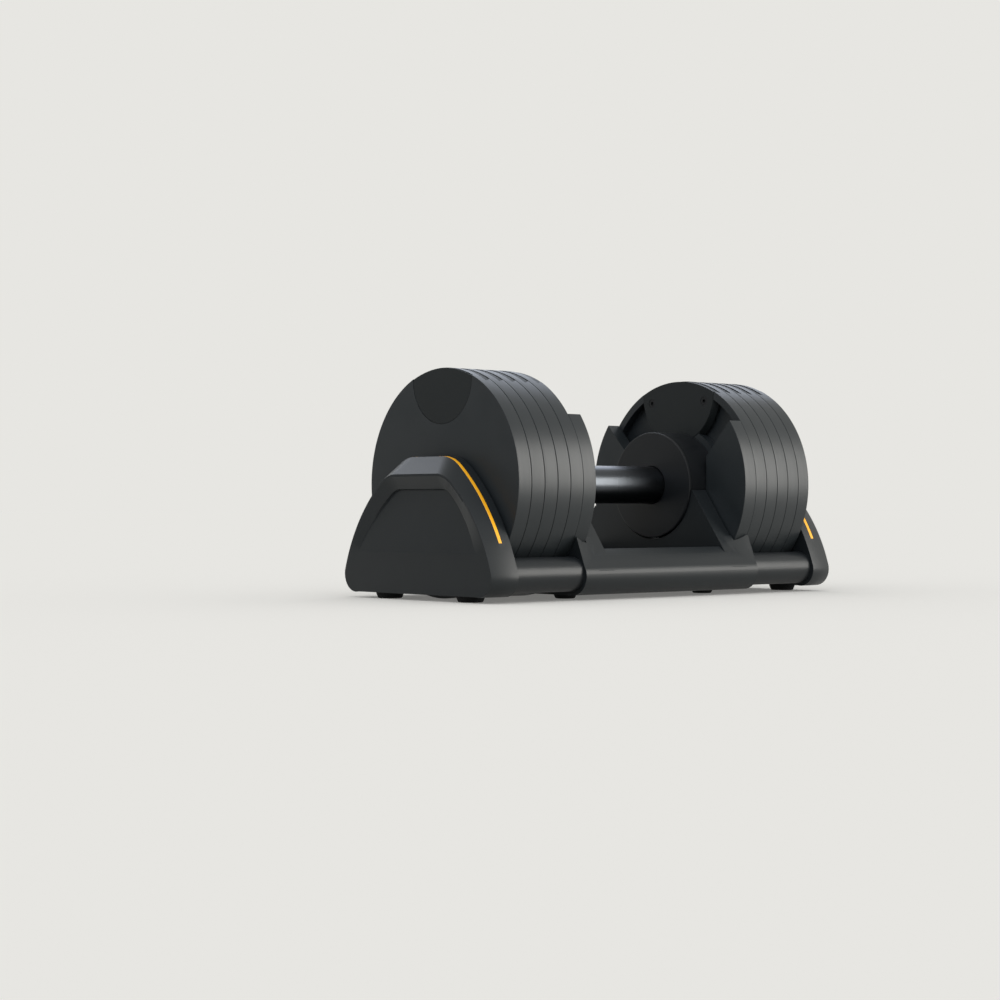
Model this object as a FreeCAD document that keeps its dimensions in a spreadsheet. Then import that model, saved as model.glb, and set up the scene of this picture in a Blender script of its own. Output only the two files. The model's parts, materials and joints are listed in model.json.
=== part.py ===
import FreeCAD, Part
import math
import os

import Sketcher

# Adjustable twist-grip dumbbell standing in its cradle.
# Row frame: +X along the handle, +Z up, origin under the middle, on the floor.
# Every sub-part is drawn about the handle's axis and then lifted to the axis height.

DIMS = {
    "plate_radius": 95.0,
    "plate_pitch": 14.13,
    "plate_gap": 0.3,
    "fork_face": 90.3,
    "axis_height": 95.8,
    "edge_chamfer": 0.7,
    "rod_radius": 8.0,
    "rod_bore": 8.35,
    "rod_inner": 3.0,
    "rod_tip": 98.0,
    "drum_radius": 47.6,
    "drum_face": 69.4,
    "cap_thickness": 3.5,
    "drum_end": 104.0,
    "grip_radius": 16.7,
    "grip_bore": 13.2,
    "sleeve_bore": 10.25,
    "spine_radius": 10.2,
    "spine_bore": 8.05,
    "bush_radius": 16.0,
    "groove_depth": 6.5,
    "tongue_height": 6.2,
    "tongue_gap": 0.6,
    "rail_radius": 14.25,
    "rail_wall": 2.0,
    "rail_y": 80.5,
    "rail_z": -74.35,
    "support_inner": 177.65,
    "support_ridge": 190.0,
    "support_outer": 203.3,
    "saddle_half": 103.6,
    "wall_inner": 71.4,
    "wall_outer": 88.6,
    "drum_seat": 48.4,
}

DISC_COUNT = 6
TURN_DEGREES = 300.0
SIDES = (("right", 0.0), ("left", 180.0))

doc = FreeCAD.newDocument("dumbbell")
sheet = doc.addObject("Spreadsheet::Sheet", "Dims")
for row, (alias, size) in enumerate(DIMS.items(), start=1):
    sheet.set(f"A{row}", str(size))
    sheet.setAlias(f"A{row}", alias)
doc.recompute()

SUBPARTS = []
X_AXIS = FreeCAD.Vector(1, 0, 0)
Y_AXIS = FreeCAD.Vector(0, 1, 0)
Z_AXIS = FreeCAD.Vector(0, 0, 1)
# Turns a primitive drawn along +Z so that it runs along +X.
ALONG_X = FreeCAD.Rotation(Y_AXIS, 90)


def value(formula):
    """A sheet formula as a number, such as "plate_radius * 0.46"."""
    names = formula
    for alias in sorted(DIMS, key=len):
        names = names.replace(alias, f"({getattr(sheet, alias)})")
    total = FreeCAD.Units.Quantity(names)
    return float(total.Value)


def cell(formula):
    """The same formula written as a FreeCAD expression on the sheet."""
    text = str(formula)
    for alias in sorted(DIMS, key=len):
        text = text.replace(alias, f"<{list(DIMS).index(alias)}>")
    for index, alias in enumerate(DIMS):
        text = text.replace(f"<{index}>", f"Dims.{alias}")
    return text


def bind(thing, **sizes):
    """Bind each named property to its formula."""
    for name, formula in sizes.items():
        thing.setExpression(name, cell(formula))


def keep(thing, label, turn=0.0):
    """Name a finished sub-part, lift it to the axis height and turn it to its side."""
    thing.Label = label
    thing.Placement = FreeCAD.Placement(FreeCAD.Vector(0, 0, 0), FreeCAD.Rotation(Z_AXIS, turn))
    thing.setExpression("Placement.Base.z", "Dims.axis_height")
    SUBPARTS.append(thing)
    return thing


def plane(body, role):
    """The body's own origin plane with this role."""
    return next(f for f in body.Origin.OriginFeatures if f.Role == role)


def new_body(name):
    return doc.addObject("PartDesign::Body", name)


def new_sketch(body, role, offset="0", name="sketch"):
    """A sketch on one of the body's origin planes, moved along the plane's normal."""
    sketch = body.newObject("Sketcher::SketchObject", name)
    sketch.AttachmentSupport = [(plane(body, role), "")]
    sketch.MapMode = "FlatFace"
    bind(sketch, **{"AttachmentOffset.Base.z": offset})
    return sketch


def place_vertex(sketch, index, end, across, up):
    """Hold one sketch vertex at its distances from the sketch's origin."""
    for kind, formula in (("DistanceX", across), ("DistanceY", up)):
        number = value(formula)
        tag = f"{kind}_{index}_{end}"
        sketch.addConstraint(Sketcher.Constraint(kind, -1, 1, index, end, number))
        last = sketch.ConstraintCount - 1
        sketch.renameConstraint(last, tag)
        sketch.setExpression(f"Constraints.{tag}", cell(formula))


def closed_lines(sketch, corners):
    """A closed outline of straight lines with every corner held by the sheet."""
    spots = [FreeCAD.Vector(value(a), value(b), 0) for a, b in corners]
    for number in range(len(spots)):
        sketch.addGeometry(Part.LineSegment(spots[number - 1], spots[number]))
    for number, (across, up) in enumerate(corners):
        after = (number + 1) % len(spots)
        sketch.addConstraint(Sketcher.Constraint("Coincident", number, 2, after, 1))
        place_vertex(sketch, number, 2, across, up)


def circle(sketch, across, up, radius):
    """A circle whose centre and radius are held by the sheet."""
    centre = FreeCAD.Vector(value(across), value(up), 0)
    index = sketch.addGeometry(Part.Circle(centre, Z_AXIS, value(radius)))
    place_vertex(sketch, index, 3, across, up)
    sketch.addConstraint(Sketcher.Constraint("Radius", index, value(radius)))
    tag = f"radius_{index}"
    sketch.renameConstraint(sketch.ConstraintCount - 1, tag)
    sketch.setExpression(f"Constraints.{tag}", cell(radius))


def turned(name, corners):
    """A body turned about the handle's axis from corners given as (along X, radius)."""
    body = new_body(name)
    sketch = new_sketch(body, "XZ_Plane")
    closed_lines(sketch, corners)
    spin = body.newObject("PartDesign::Revolution", "spin")
    spin.Profile = sketch
    spin.ReferenceAxis = (sketch, ["H_Axis"])
    spin.Angle = 360
    return body


def pocket(body, sketch, length):
    """Cut a sketch out of the body, a given length along the sketch's normal."""
    cut = body.newObject("PartDesign::Pocket", "cut")
    cut.Profile = sketch
    cut.Reversed = True
    cut.Type = 0
    bind(cut, Length=length)
    return cut


def round_cut(body, start, reach, spots, radius):
    """Round holes along +X from start, each at (across, up)."""
    sketch = new_sketch(body, "YZ_Plane", start)
    for across, up in spots:
        circle(sketch, across, up, radius)
    return pocket(body, sketch, reach)


def bevelled_disc(name, inner, outer, bore):
    """A disc between two planes with a small bevel at each outer edge."""
    bevel = "edge_chamfer"
    return turned(name, [
        (inner, bore),
        (inner, f"plate_radius - {bevel}"),
        (f"{inner} + {bevel}", "plate_radius"),
        (f"{outer} - {bevel}", "plate_radius"),
        (outer, f"plate_radius - {bevel}"),
        (outer, bore),
    ])


def rod_along_x(name, start, length, radius, across="0", up="0"):
    """A plain cylinder along +X."""
    bar = doc.addObject("Part::Cylinder", name)
    bar.Placement = FreeCAD.Placement(FreeCAD.Vector(0, 0, 0), ALONG_X)
    bind(bar, Radius=radius, Height=length)
    bind(bar, **{"Placement.Base.x": start, "Placement.Base.y": across, "Placement.Base.z": up})
    return bar


def cone_along_x(name, start, length, near, far, up):
    """A cone along +X, near its start and far at its end."""
    cone = doc.addObject("Part::Cone", name)
    cone.Placement = FreeCAD.Placement(FreeCAD.Vector(0, 0, 0), ALONG_X)
    bind(cone, Radius1=near, Radius2=far, Height=length)
    bind(cone, **{"Placement.Base.x": start, "Placement.Base.z": up})
    return cone


def block(name, low, high):
    """A box between two corners given as formulas."""
    box = doc.addObject("Part::Box", name)
    spans = [f"{b} - ({a})" for a, b in zip(low, high)]
    bind(box, Length=spans[0], Width=spans[1], Height=spans[2])
    bind(box, **{"Placement.Base.x": low[0], "Placement.Base.y": low[1], "Placement.Base.z": low[2]})
    return box


def joined(kind, name, shapes):
    """A boolean of two or more shapes: Fuse or Common of all, or Cut of the rest from the first."""
    if kind == "Cut":
        cut = doc.addObject("Part::Cut", name)
        cut.Base = shapes[0]
        cut.Tool = shapes[1] if len(shapes) == 2 else joined("MultiFuse", name + "_tools", shapes[1:])
        return cut
    merged = doc.addObject("Part::" + kind, name)
    merged.Shapes = shapes
    return merged


# ---------------------------------------------------------------- weight plates

TONGUE_UP = "plate_radius * 0.87"
TONGUE_NEAR = "plate_radius * 0.46"
TONGUE_FAR = "plate_radius * 0.49"
SCREW_UP = "plate_radius * 0.797"
SCREW_ACROSS = "plate_radius * 0.343"
SCREW_SPOTS = ((SCREW_ACROSS, SCREW_UP), (f"-({SCREW_ACROSS})", SCREW_UP))
SCREW_RADIUS = "2.4"
SCREW_HEAD = "4.0"
HEAD_HEIGHT = "2.6"
NECK_HALF = "19"


def disc_inner(number):
    """The inner face of disc 1 (outermost) to 6 (the forked one)."""
    return f"(fork_face + plate_pitch * {DISC_COUNT - number})"


def disc_outer(number):
    return f"(fork_face + plate_pitch * {DISC_COUNT - number + 1} - plate_gap)"


def cut_groove(body, number):
    """The undercut groove in a disc's inner face, open at the rim, for its neighbour's tongue."""
    groove = body.newObject("PartDesign::SubtractiveCone", "groove")
    groove.AttachmentSupport = [(plane(body, "YZ_Plane"), "")]
    groove.MapMode = "FlatFace"
    bind(groove, Radius1=f"{TONGUE_NEAR} + tongue_gap", Radius2=f"{TONGUE_FAR} + tongue_gap",
         Height="groove_depth")
    bind(groove, **{"AttachmentOffset.Base.y": TONGUE_UP, "AttachmentOffset.Base.z": disc_inner(number)})
    return groove


def full_disc(side, turn, number):
    """A round weight plate with its bore, its groove and the screw holes of its own tongue."""
    body = bevelled_disc(f"{side}_disc_{number}", disc_inner(number), disc_outer(number), "rod_bore")
    doc.recompute()
    cut_groove(body, number)
    if number == DISC_COUNT - 1:
        cut_side_pockets(body, number)
        cut_neck_slot(body, number)
        round_cut(body, f"{disc_inner(number)} - 1", "20", fork_spots(), SCREW_RADIUS)
        round_cut(body, f"{disc_outer(number)} - {HEAD_HEIGHT} - 0.2", "10", fork_spots(), f"{SCREW_HEAD} + 0.1")
    round_cut(body, f"{disc_outer(number)} - 5", "10", SCREW_SPOTS, SCREW_RADIUS)
    return keep(body, f"{side}_plate_{number}", turn)


def closed_bore_disc(side, turn):
    """The outermost plate: its rod bore is blind, so its outer face is plain."""
    body = bevelled_disc(f"{side}_disc_1", disc_inner(1), disc_outer(1), "0")
    doc.recompute()
    cut_groove(body, 1)
    round_cut(body, f"{disc_inner(1)} - 1", "11", (("0", "0"),), "rod_bore")
    patch = new_sketch(body, "YZ_Plane", f"{disc_outer(1)} - 1.5")
    circle(patch, "0", "plate_radius * 0.91", "plate_radius * 0.40")
    pocket(body, patch, "5")
    return keep(body, f"{side}_plate_1", turn)


POCKET_RIM = 0.93
POCKET_HUB = 0.56
POCKET_LOW = 6.0
POCKET_HIGH = 60.5
POCKET_DEPTH = "10"


def polar_spot(radius, degrees, across=1):
    """A sketch point at a radius and an angle from the Y axis, mirrored when across is -1."""
    angle = math.radians(degrees)
    return FreeCAD.Vector(across * radius * math.cos(angle), radius * math.sin(angle), 0)


def cut_side_pockets(body, number):
    """Two deep curved pockets that open into the groove's sides, inside the rim."""
    rim, hub = DIMS["plate_radius"] * POCKET_RIM, DIMS["plate_radius"] * POCKET_HUB
    middle = (POCKET_LOW + POCKET_HIGH) / 2
    for across in (1, -1):
        sketch = new_sketch(body, "YZ_Plane", f"{disc_inner(number)} - 1")
        outer = [polar_spot(rim, degrees, across) for degrees in (POCKET_LOW, middle, POCKET_HIGH)]
        inner = [polar_spot(hub, degrees, across) for degrees in (POCKET_HIGH, middle, POCKET_LOW)]
        sketch.addGeometry(Part.Arc(*outer))
        sketch.addGeometry(Part.LineSegment(outer[2], inner[0]))
        sketch.addGeometry(Part.Arc(*inner))
        sketch.addGeometry(Part.LineSegment(inner[2], outer[0]))
        pocket(body, sketch, POCKET_DEPTH)


def cut_neck_slot(body, number):
    """The upright slot in the innermost plate for the neck of the drum's guide blade."""
    half = f"{NECK_HALF} + tongue_gap"
    start = f"{disc_inner(number)} - 1"
    neck = new_sketch(body, "YZ_Plane", start, "neck")
    closed_lines(neck, [(f"-({half})", "0"), (half, "0"), (half, "plate_radius * 0.6"),
                        (f"-({half})", "plate_radius * 0.6")])
    pocket(body, neck, "1 + groove_depth")
    foot = new_sketch(body, "YZ_Plane", start, "foot")
    circle(foot, "0", "0", half)
    pocket(body, foot, "1 + groove_depth")


def tongue(side, turn, number):
    """The undercut tongue on a disc's outer face, which sits in the next disc's groove."""
    start = disc_outer(number)
    cone = cone_along_x(f"{side}_tongue_cone_{number}", start, "tongue_height",
                        TONGUE_NEAR, TONGUE_FAR, TONGUE_UP)
    rim = rod_along_x(f"{side}_tongue_rim_{number}", start, "tongue_height", "plate_radius * 0.985")
    lens = joined("MultiCommon", f"{side}_tongue_lens_{number}", [cone, rim])
    cuts = [lens]
    for across, up in SCREW_SPOTS:
        cuts.append(rod_along_x("hole", f"{start} - 1", "20", SCREW_RADIUS, across, up))
        cuts.append(rod_along_x("seat", f"{start} + tongue_height - {HEAD_HEIGHT}", "20",
                                f"{SCREW_HEAD} + 0.1", across, up))
    return keep(joined("Cut", f"{side}_tongue_{number}", cuts), f"{side}_tongue_{number}", turn)


def cap_screw(name, start, shank, across, up, head_first=False):
    """A countersunk screw along +X: a shank and a flat head with a hex socket."""
    shaft = rod_along_x(name + "_shank", start, shank, f"{SCREW_RADIUS} - 0.05", across, up)
    head_at = f"{start} - {HEAD_HEIGHT}" if head_first else f"{start} + {shank}"
    head = rod_along_x(name + "_head", head_at, HEAD_HEIGHT, SCREW_HEAD, across, up)
    socket = doc.addObject("Part::Prism", name + "_socket")
    socket.Polygon = 6
    socket.Placement = FreeCAD.Placement(FreeCAD.Vector(0, 0, 0), ALONG_X)
    socket_at = f"{start} - {HEAD_HEIGHT} - 1" if head_first else f"{start} + {shank} + {HEAD_HEIGHT} - 1.4"
    bind(socket, Circumradius="1.8", Height="2.4")
    bind(socket, **{"Placement.Base.x": socket_at, "Placement.Base.y": across, "Placement.Base.z": up})
    whole = joined("MultiFuse", name + "_whole", [shaft, head])
    return joined("Cut", name, [whole, socket])


def both_sides(name, one_side):
    """The same solids at both ends, in one group."""
    group = []
    for side, turn in SIDES:
        for number, solid in enumerate(one_side(side)):
            placed = doc.addObject("Part::Compound", f"{name}_{side}_{number}")
            placed.Links = [solid]
            placed.Placement = FreeCAD.Placement(FreeCAD.Vector(0, 0, 0), FreeCAD.Rotation(Z_AXIS, turn))
            group.append(placed)
    whole = doc.addObject("Part::Compound", name)
    whole.Links = group
    return keep(whole, name)


def tongue_screws(number):
    start = f"({disc_outer(number)} - 5)"

    def one_side(side):
        return [
            cap_screw(f"{side}_tongue_screw_{number}_{index}", start,
                      f"(5 + tongue_height - {HEAD_HEIGHT})", across, up)
            for index, (across, up) in enumerate(SCREW_SPOTS)
        ]

    return both_sides(f"tongue_screws_{number}", one_side)


def face_inset(side, turn):
    """The thin flush cover in the outermost plate's outer face, at its top."""
    start = f"({disc_outer(1)} - 1.5)"
    lens = rod_along_x(f"{side}_inset_round", start, "1.5", "plate_radius * 0.40 - 0.3", up="plate_radius * 0.91")
    rim = rod_along_x(f"{side}_inset_rim", start, "1.5", "plate_radius - edge_chamfer - 0.1")
    return keep(joined("MultiCommon", f"{side}_inset", [lens, rim]), f"{side}_face_inset", turn)


FORK_HALF = 0.51
FORK_RISE = 0.27
FORK_TIP = (0.80, 0.59)
FORK_SCREW_ANGLES = (-20, -60, -120, -160)
FORK_SCREW_CIRCLE = 0.80
FORK_BACK = f"({disc_outer(DISC_COUNT)} + plate_gap)"
FORK_THREAD = "8"


def fork_spots():
    """Where the forked plate's screws are, round its lower half."""
    return [
        (f"plate_radius * {FORK_SCREW_CIRCLE * math.cos(math.radians(a)):.4f}",
         f"plate_radius * {FORK_SCREW_CIRCLE * math.sin(math.radians(a)):.4f}")
        for a in FORK_SCREW_ANGLES
    ]


def fork_disc(side, turn):
    """The innermost, forked plate: a round slot for the drum that opens into a V at the top."""
    body = bevelled_disc(f"{side}_disc_6", disc_inner(DISC_COUNT), FORK_BACK, "0")
    doc.recompute()
    sketch = new_sketch(body, "YZ_Plane", f"{disc_inner(DISC_COUNT)} - 1")
    radius = DIMS["plate_radius"]
    half, rise = radius * FORK_HALF, radius * FORK_RISE
    flare = (FORK_TIP[1] - FORK_RISE) / (FORK_TIP[0] - FORK_HALF)
    reach = radius * 1.2
    top = rise + (reach - half) * flare
    right = [FreeCAD.Vector(half, 0, 0), FreeCAD.Vector(half, rise, 0), FreeCAD.Vector(reach, top, 0)]
    left = [FreeCAD.Vector(-p.x, p.y, 0) for p in right]
    sketch.addGeometry(Part.Arc(left[0], FreeCAD.Vector(0, -half, 0), right[0]))
    path = right + left[::-1]
    for start, stop in zip(path, path[1:]):
        sketch.addGeometry(Part.LineSegment(start, stop))
    pocket(body, sketch, "30")
    round_cut(body, f"{FORK_BACK} - {FORK_THREAD} - 0.2", "20", fork_spots(), SCREW_RADIUS)
    return keep(body, f"{side}_fork_plate", turn)


def fork_screws():
    """The screws that hold each forked plate, entered from the outer face of plate 5."""
    start = f"({FORK_BACK} - {FORK_THREAD})"
    shank = f"({disc_outer(DISC_COUNT - 1)} - 0.2 - {HEAD_HEIGHT} - {start})"

    def one_side(side):
        return [
            cap_screw(f"{side}_fork_screw_{index}", start, shank, across, up)
            for index, (across, up) in enumerate(fork_spots())
        ]

    return both_sides("fork_plate_screws", one_side)


def weights():
    for side, turn in SIDES:
        closed_bore_disc(side, turn)
        face_inset(side, turn)
        for number in range(2, DISC_COUNT):
            full_disc(side, turn, number)
            tongue(side, turn, number)
        fork_disc(side, turn)
    for number in range(2, DISC_COUNT):
        tongue_screws(number)
    fork_screws()


# ---------------------------------------------------------------- handle

STROKE = "(plate_pitch * 5)"
PIN_INSET = "5"
PIN_RADIUS = "2.5"
SLOT_HALF = "4.3"
SLOT_OVERRUN = 8.0
WHEEL_RADIUS = "20"
WHEEL_START = "74.3"
WHEEL_END = "82"
SHOULDER = "92.5"
SPINE_END = "100"
GATE_FRONT = "74.5"
GATE_REAR = "76.2"
GATE_FOOT = "-47.9"
KEY_TOP = "-48.3"
BALL_RADIUS = "1.8"
BALL_X = "79.9"
BALL_DROP = "22"


def hub_cap(side, turn):
    """The thin face cap of a drum, with the hole that the grip turns in."""
    body = turned(f"{side}_cap_body", [
        ("drum_face", "grip_radius + 0.3"),
        ("drum_face", "drum_radius - 1.2"),
        ("drum_face + 1.2", "drum_radius"),
        ("drum_face + cap_thickness", "drum_radius"),
        ("drum_face + cap_thickness", "grip_radius + 0.3"),
    ])
    return keep(body, f"{side}_hub_cap", turn)


def hub_shell(side, turn):
    """A drum: a cup with a bearing boss, a seat for the spine tube and a rod bore in its end wall."""
    body = turned(f"{side}_hub_body", [
        ("drum_face + cap_thickness", "drum_radius - 4"),
        ("drum_face + cap_thickness", "drum_radius"),
        ("drum_end", "drum_radius"),
        ("drum_end", "rod_bore"),
        (SPINE_END, "rod_bore"),
        (SPINE_END, "spine_radius"),
        (SHOULDER, "spine_radius"),
        (SHOULDER, "bush_radius"),
        ("83", "bush_radius"),
        ("83", "bush_radius + 4"),
        ("drum_end - 8", "bush_radius + 4"),
        ("drum_end - 8", "drum_radius - 4"),
    ])
    doc.recompute()
    round_cut(body, "drum_end - 9", "20", NECK_SPOTS, SCREW_RADIUS)
    if side == "right":
        add_ball_boss(body)
        slot = new_sketch(body, "XY_Plane", "-60")
        closed_lines(slot, [(f"{GATE_FRONT} - 0.2", "-5.3"), (f"{GATE_REAR} + 0.2", "-5.3"),
                            (f"{GATE_REAR} + 0.2", "5.3"), (f"{GATE_FRONT} - 0.2", "5.3")])
        pocket(body, slot, "30")
    return keep(body, f"{side}_hub_shell", turn)


def add_ball_boss(body):
    """The upright boss at the foot of the drum that holds the click ball and its spring."""
    sketch = new_sketch(body, "XY_Plane", "-(drum_radius - 3)")
    closed_lines(sketch, [("77.2", "-4"), ("82.6", "-4"), ("82.6", "4"), ("77.2", "4")])
    pad = body.newObject("PartDesign::Pad", "ball_boss")
    pad.Profile = sketch
    bind(pad, Length=f"drum_radius - 3 - {BALL_DROP} - 0.6")
    doc.recompute()
    bore = new_sketch(body, "XY_Plane", "-(drum_radius - 6)")
    circle(bore, BALL_X, "0", f"{BALL_RADIUS} + 0.1")
    pocket(body, bore, "30")


NECK_SPOTS = (("13", "5"), ("-13", "5"))


def guide_blade(side, turn):
    """The undercut blade on a drum's end that slides in the innermost plate's groove."""
    start = "(drum_end + 0.1)"
    cone = cone_along_x(f"{side}_blade_cone", start, "tongue_height", TONGUE_NEAR, TONGUE_FAR, TONGUE_UP)
    neck = block(f"{side}_blade_neck", (start, f"-{NECK_HALF}", "0"),
                 (f"{start} + tongue_height", NECK_HALF, "plate_radius * 0.7"))
    foot = rod_along_x(f"{side}_blade_foot", start, "tongue_height", NECK_HALF)
    rim = rod_along_x(f"{side}_blade_rim", start, "tongue_height", "plate_radius * 0.985")
    whole = joined("MultiFuse", f"{side}_blade_whole", [cone, neck, foot])
    trimmed = joined("MultiCommon", f"{side}_blade_trimmed", [whole, rim])
    cuts = [trimmed, rod_along_x("blade_bore", f"{start} - 1", "20", "rod_bore")]
    for across, up in SCREW_SPOTS:
        cuts.append(rod_along_x("blade_hole", f"{start} - 1", "20", SCREW_RADIUS, across, up))
        cuts.append(rod_along_x("blade_seat", f"{start} - 1", f"1 + {HEAD_HEIGHT} + 0.2",
                                f"{SCREW_HEAD} + 0.1", across, up))
    for across, up in NECK_SPOTS:
        cuts.append(rod_along_x("neck_hole", f"{start} - 1", "20", SCREW_RADIUS, across, up))
        cuts.append(rod_along_x("neck_seat", f"{start} + tongue_height - {HEAD_HEIGHT}", "20",
                                f"{SCREW_HEAD} + 0.1", across, up))
    return keep(joined("Cut", f"{side}_blade", cuts), f"{side}_guide_blade", turn)


def blade_screws():
    """The two face screws of each blade and the two that hold its neck to the drum."""
    def one_side(side):
        face = [
            cap_screw(f"{side}_blade_screw_{index}", f"(drum_end + 0.1 + {HEAD_HEIGHT} + 0.2)", "3.2",
                      across, up, head_first=True)
            for index, (across, up) in enumerate(SCREW_SPOTS)
        ]
        neck = [
            cap_screw(f"{side}_neck_screw_{index}", "(drum_end - 6)",
                      f"(6 + 0.1 + tongue_height - {HEAD_HEIGHT})", across, up)
            for index, (across, up) in enumerate(NECK_SPOTS)
        ]
        return face + neck

    return both_sides("guide_blade_screws", one_side)


def spine_tube():
    """The fixed tube that ties the drums, with a straight slot above each rod's pin."""
    body = turned("spine_body", [
        (f"-{SPINE_END}", "spine_bore"), (f"-{SPINE_END}", "spine_radius"),
        (SPINE_END, "spine_radius"), (SPINE_END, "spine_bore"),
    ])
    doc.recompute()
    start = f"(rod_inner + {PIN_INSET} - {PIN_RADIUS} - 0.3)"
    stop = f"(rod_inner + {PIN_INSET} + {STROKE} + {PIN_RADIUS} + 0.3)"
    for sign in ("", "-"):
        sketch = new_sketch(body, "XY_Plane", "0")
        closed_lines(sketch, [(f"{sign}{start}", "-2.6"), (f"{sign}{stop}", "-2.6"),
                              (f"{sign}{stop}", "2.6"), (f"{sign}{start}", "2.6")])
        pocket(body, sketch, "20")
        doc.recompute()
    return keep(body, "spine_tube")


def drive_sleeve():
    """The sleeve under the grip, with a helical slot of each hand that drives the rods' pins."""
    body = turned("sleeve_body", [
        (f"-({SHOULDER} - 0.5)", "sleeve_bore"), (f"-({SHOULDER} - 0.5)", "grip_bore"),
        (f"{SHOULDER} - 0.5", "grip_bore"), (f"{SHOULDER} - 0.5", "sleeve_bore"),
    ])
    doc.recompute()
    pin_at = f"(rod_inner + {PIN_INSET})"
    lead = f"({STROKE} * 360 / {TURN_DEGREES})"
    overrun = f"({lead} * {SLOT_OVERRUN} / 360)"
    sketch = new_sketch(body, "XZ_Plane")
    sketch.AttachmentOffset = FreeCAD.Placement(FreeCAD.Vector(0, 0, 0), FreeCAD.Rotation(X_AXIS, SLOT_OVERRUN))
    near, far = f"{pin_at} - {overrun} - {SLOT_HALF}", f"{pin_at} - {overrun} + {SLOT_HALF}"
    closed_lines(sketch, [(near, "sleeve_bore - 1"), (far, "sleeve_bore - 1"),
                          (far, "grip_bore + 1"), (near, "grip_bore + 1")])
    helix = body.newObject("PartDesign::SubtractiveHelix", "slot")
    helix.Profile = sketch
    helix.ReferenceAxis = (sketch, ["H_Axis"])
    helix.Mode = 0
    bind(helix, Height=f"{STROKE} + 2 * {overrun}", Pitch=lead)
    helix.LeftHanded = True
    helix.Reversed = False
    doc.recompute()
    ends = [helix]
    for along, turn in ((pin_at, 0.0), (f"{pin_at} + {STROKE}", 360.0 - TURN_DEGREES)):
        sketch = new_sketch(body, "XY_Plane")
        sketch.AttachmentOffset = FreeCAD.Placement(FreeCAD.Vector(0, 0, 0), FreeCAD.Rotation(X_AXIS, turn))
        circle(sketch, along, "0", f"{PIN_RADIUS} + 0.3")
        ends.append(pocket(body, sketch, "20"))
        doc.recompute()
    mirror = body.newObject("PartDesign::Mirrored", "other_slot")
    mirror.Originals = ends
    mirror.MirrorPlane = (plane(body, "YZ_Plane"), [""])
    body.Tip = mirror
    return keep(body, "drive_sleeve")


def grip():
    body = turned("grip_body", [
        ("-73.5", "grip_bore"), ("-73.5", "grip_radius - 0.8"), ("-72.7", "grip_radius"),
        ("72.7", "grip_radius"), ("73.5", "grip_radius - 0.8"), ("73.5", "grip_bore"),
    ])
    return keep(body, "grip")


def index_wheel():
    """The wheel on the sleeve with one notch for each weight setting."""
    body = turned("wheel_body", [
        (WHEEL_START, "grip_bore"), (WHEEL_START, WHEEL_RADIUS), (WHEEL_END, WHEEL_RADIUS),
        (WHEEL_END, "grip_bore"),
    ])
    doc.recompute()
    sketch = new_sketch(body, "YZ_Plane", f"{WHEEL_START} - 1")
    closed_lines(sketch, [("-2.6", "15.8"), ("2.6", "15.8"), ("2.6", "30"), ("-2.6", "30")])
    notch = pocket(body, sketch, "20")
    doc.recompute()
    ring = body.newObject("PartDesign::PolarPattern", "notches")
    ring.Originals = [notch]
    ring.Axis = (sketch, ["N_Axis"])
    ring.Angle = 360
    ring.Occurrences = 6
    body.Tip = ring
    return keep(body, "index_wheel")


def bush(side, turn):
    body = turned(f"{side}_bush_body", [
        ("83.5", "grip_bore + 0.05"), ("83.5", "bush_radius"),
        (f"{SHOULDER} - 0.5", "bush_radius"), (f"{SHOULDER} - 0.5", "grip_bore + 0.05"),
    ])
    return keep(body, f"{side}_sleeve_bush", turn)


def lock_gate():
    """The sliding lock: a frame round the wheel, with a tooth above it and a stem below the drum."""
    body = new_body("gate_body")
    sketch = new_sketch(body, "YZ_Plane", GATE_FRONT)
    closed_lines(sketch, [("-27", "-26"), ("-5", "-26"), ("-5", GATE_FOOT), ("5", GATE_FOOT), ("5", "-26"),
                          ("27", "-26"), ("27", "30"), ("-27", "30")])
    pad = body.newObject("PartDesign::Pad", "plate")
    pad.Profile = sketch
    bind(pad, Length=f"{GATE_REAR} - {GATE_FRONT}")
    doc.recompute()
    window = new_sketch(body, "YZ_Plane", f"{GATE_FRONT} - 1")
    closed_lines(window, [("-22", "-20.6"), ("22", "-20.6"), ("22", "25"), ("2.2", "25"),
                          ("2.2", "20.4"), ("-2.2", "20.4"), ("-2.2", "25"), ("-22", "25")])
    pocket(body, window, "10")
    return keep(body, "lock_gate")


def coil(label, along, low, high, radius, wire, turns):
    """An upright compression spring between two heights."""
    bottom, top = value(low) + wire, value(high) - wire
    path = Part.makeHelix((top - bottom) / turns, top - bottom, radius)
    section = Part.makeCircle(wire, FreeCAD.Vector(radius, 0, 0), Y_AXIS)
    solid = Part.Wire(path).makePipeShell([Part.Wire(section)], True, True)
    solid.translate(FreeCAD.Vector(value(along), 0, bottom))
    spring = doc.addObject("Part::Feature", label + "_turns")
    spring.Shape = solid
    whole = doc.addObject("Part::Compound", label + "_seat")
    whole.Links = [spring]
    return keep(whole, label)


def click_ball():
    ball = doc.addObject("Part::Sphere", "ball")
    bind(ball, Radius=BALL_RADIUS)
    bind(ball, **{"Placement.Base.x": BALL_X, "Placement.Base.z": f"-{BALL_DROP}"})
    whole = doc.addObject("Part::Compound", "ball_seat")
    whole.Links = [ball]
    return keep(whole, "click_ball")


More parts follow.
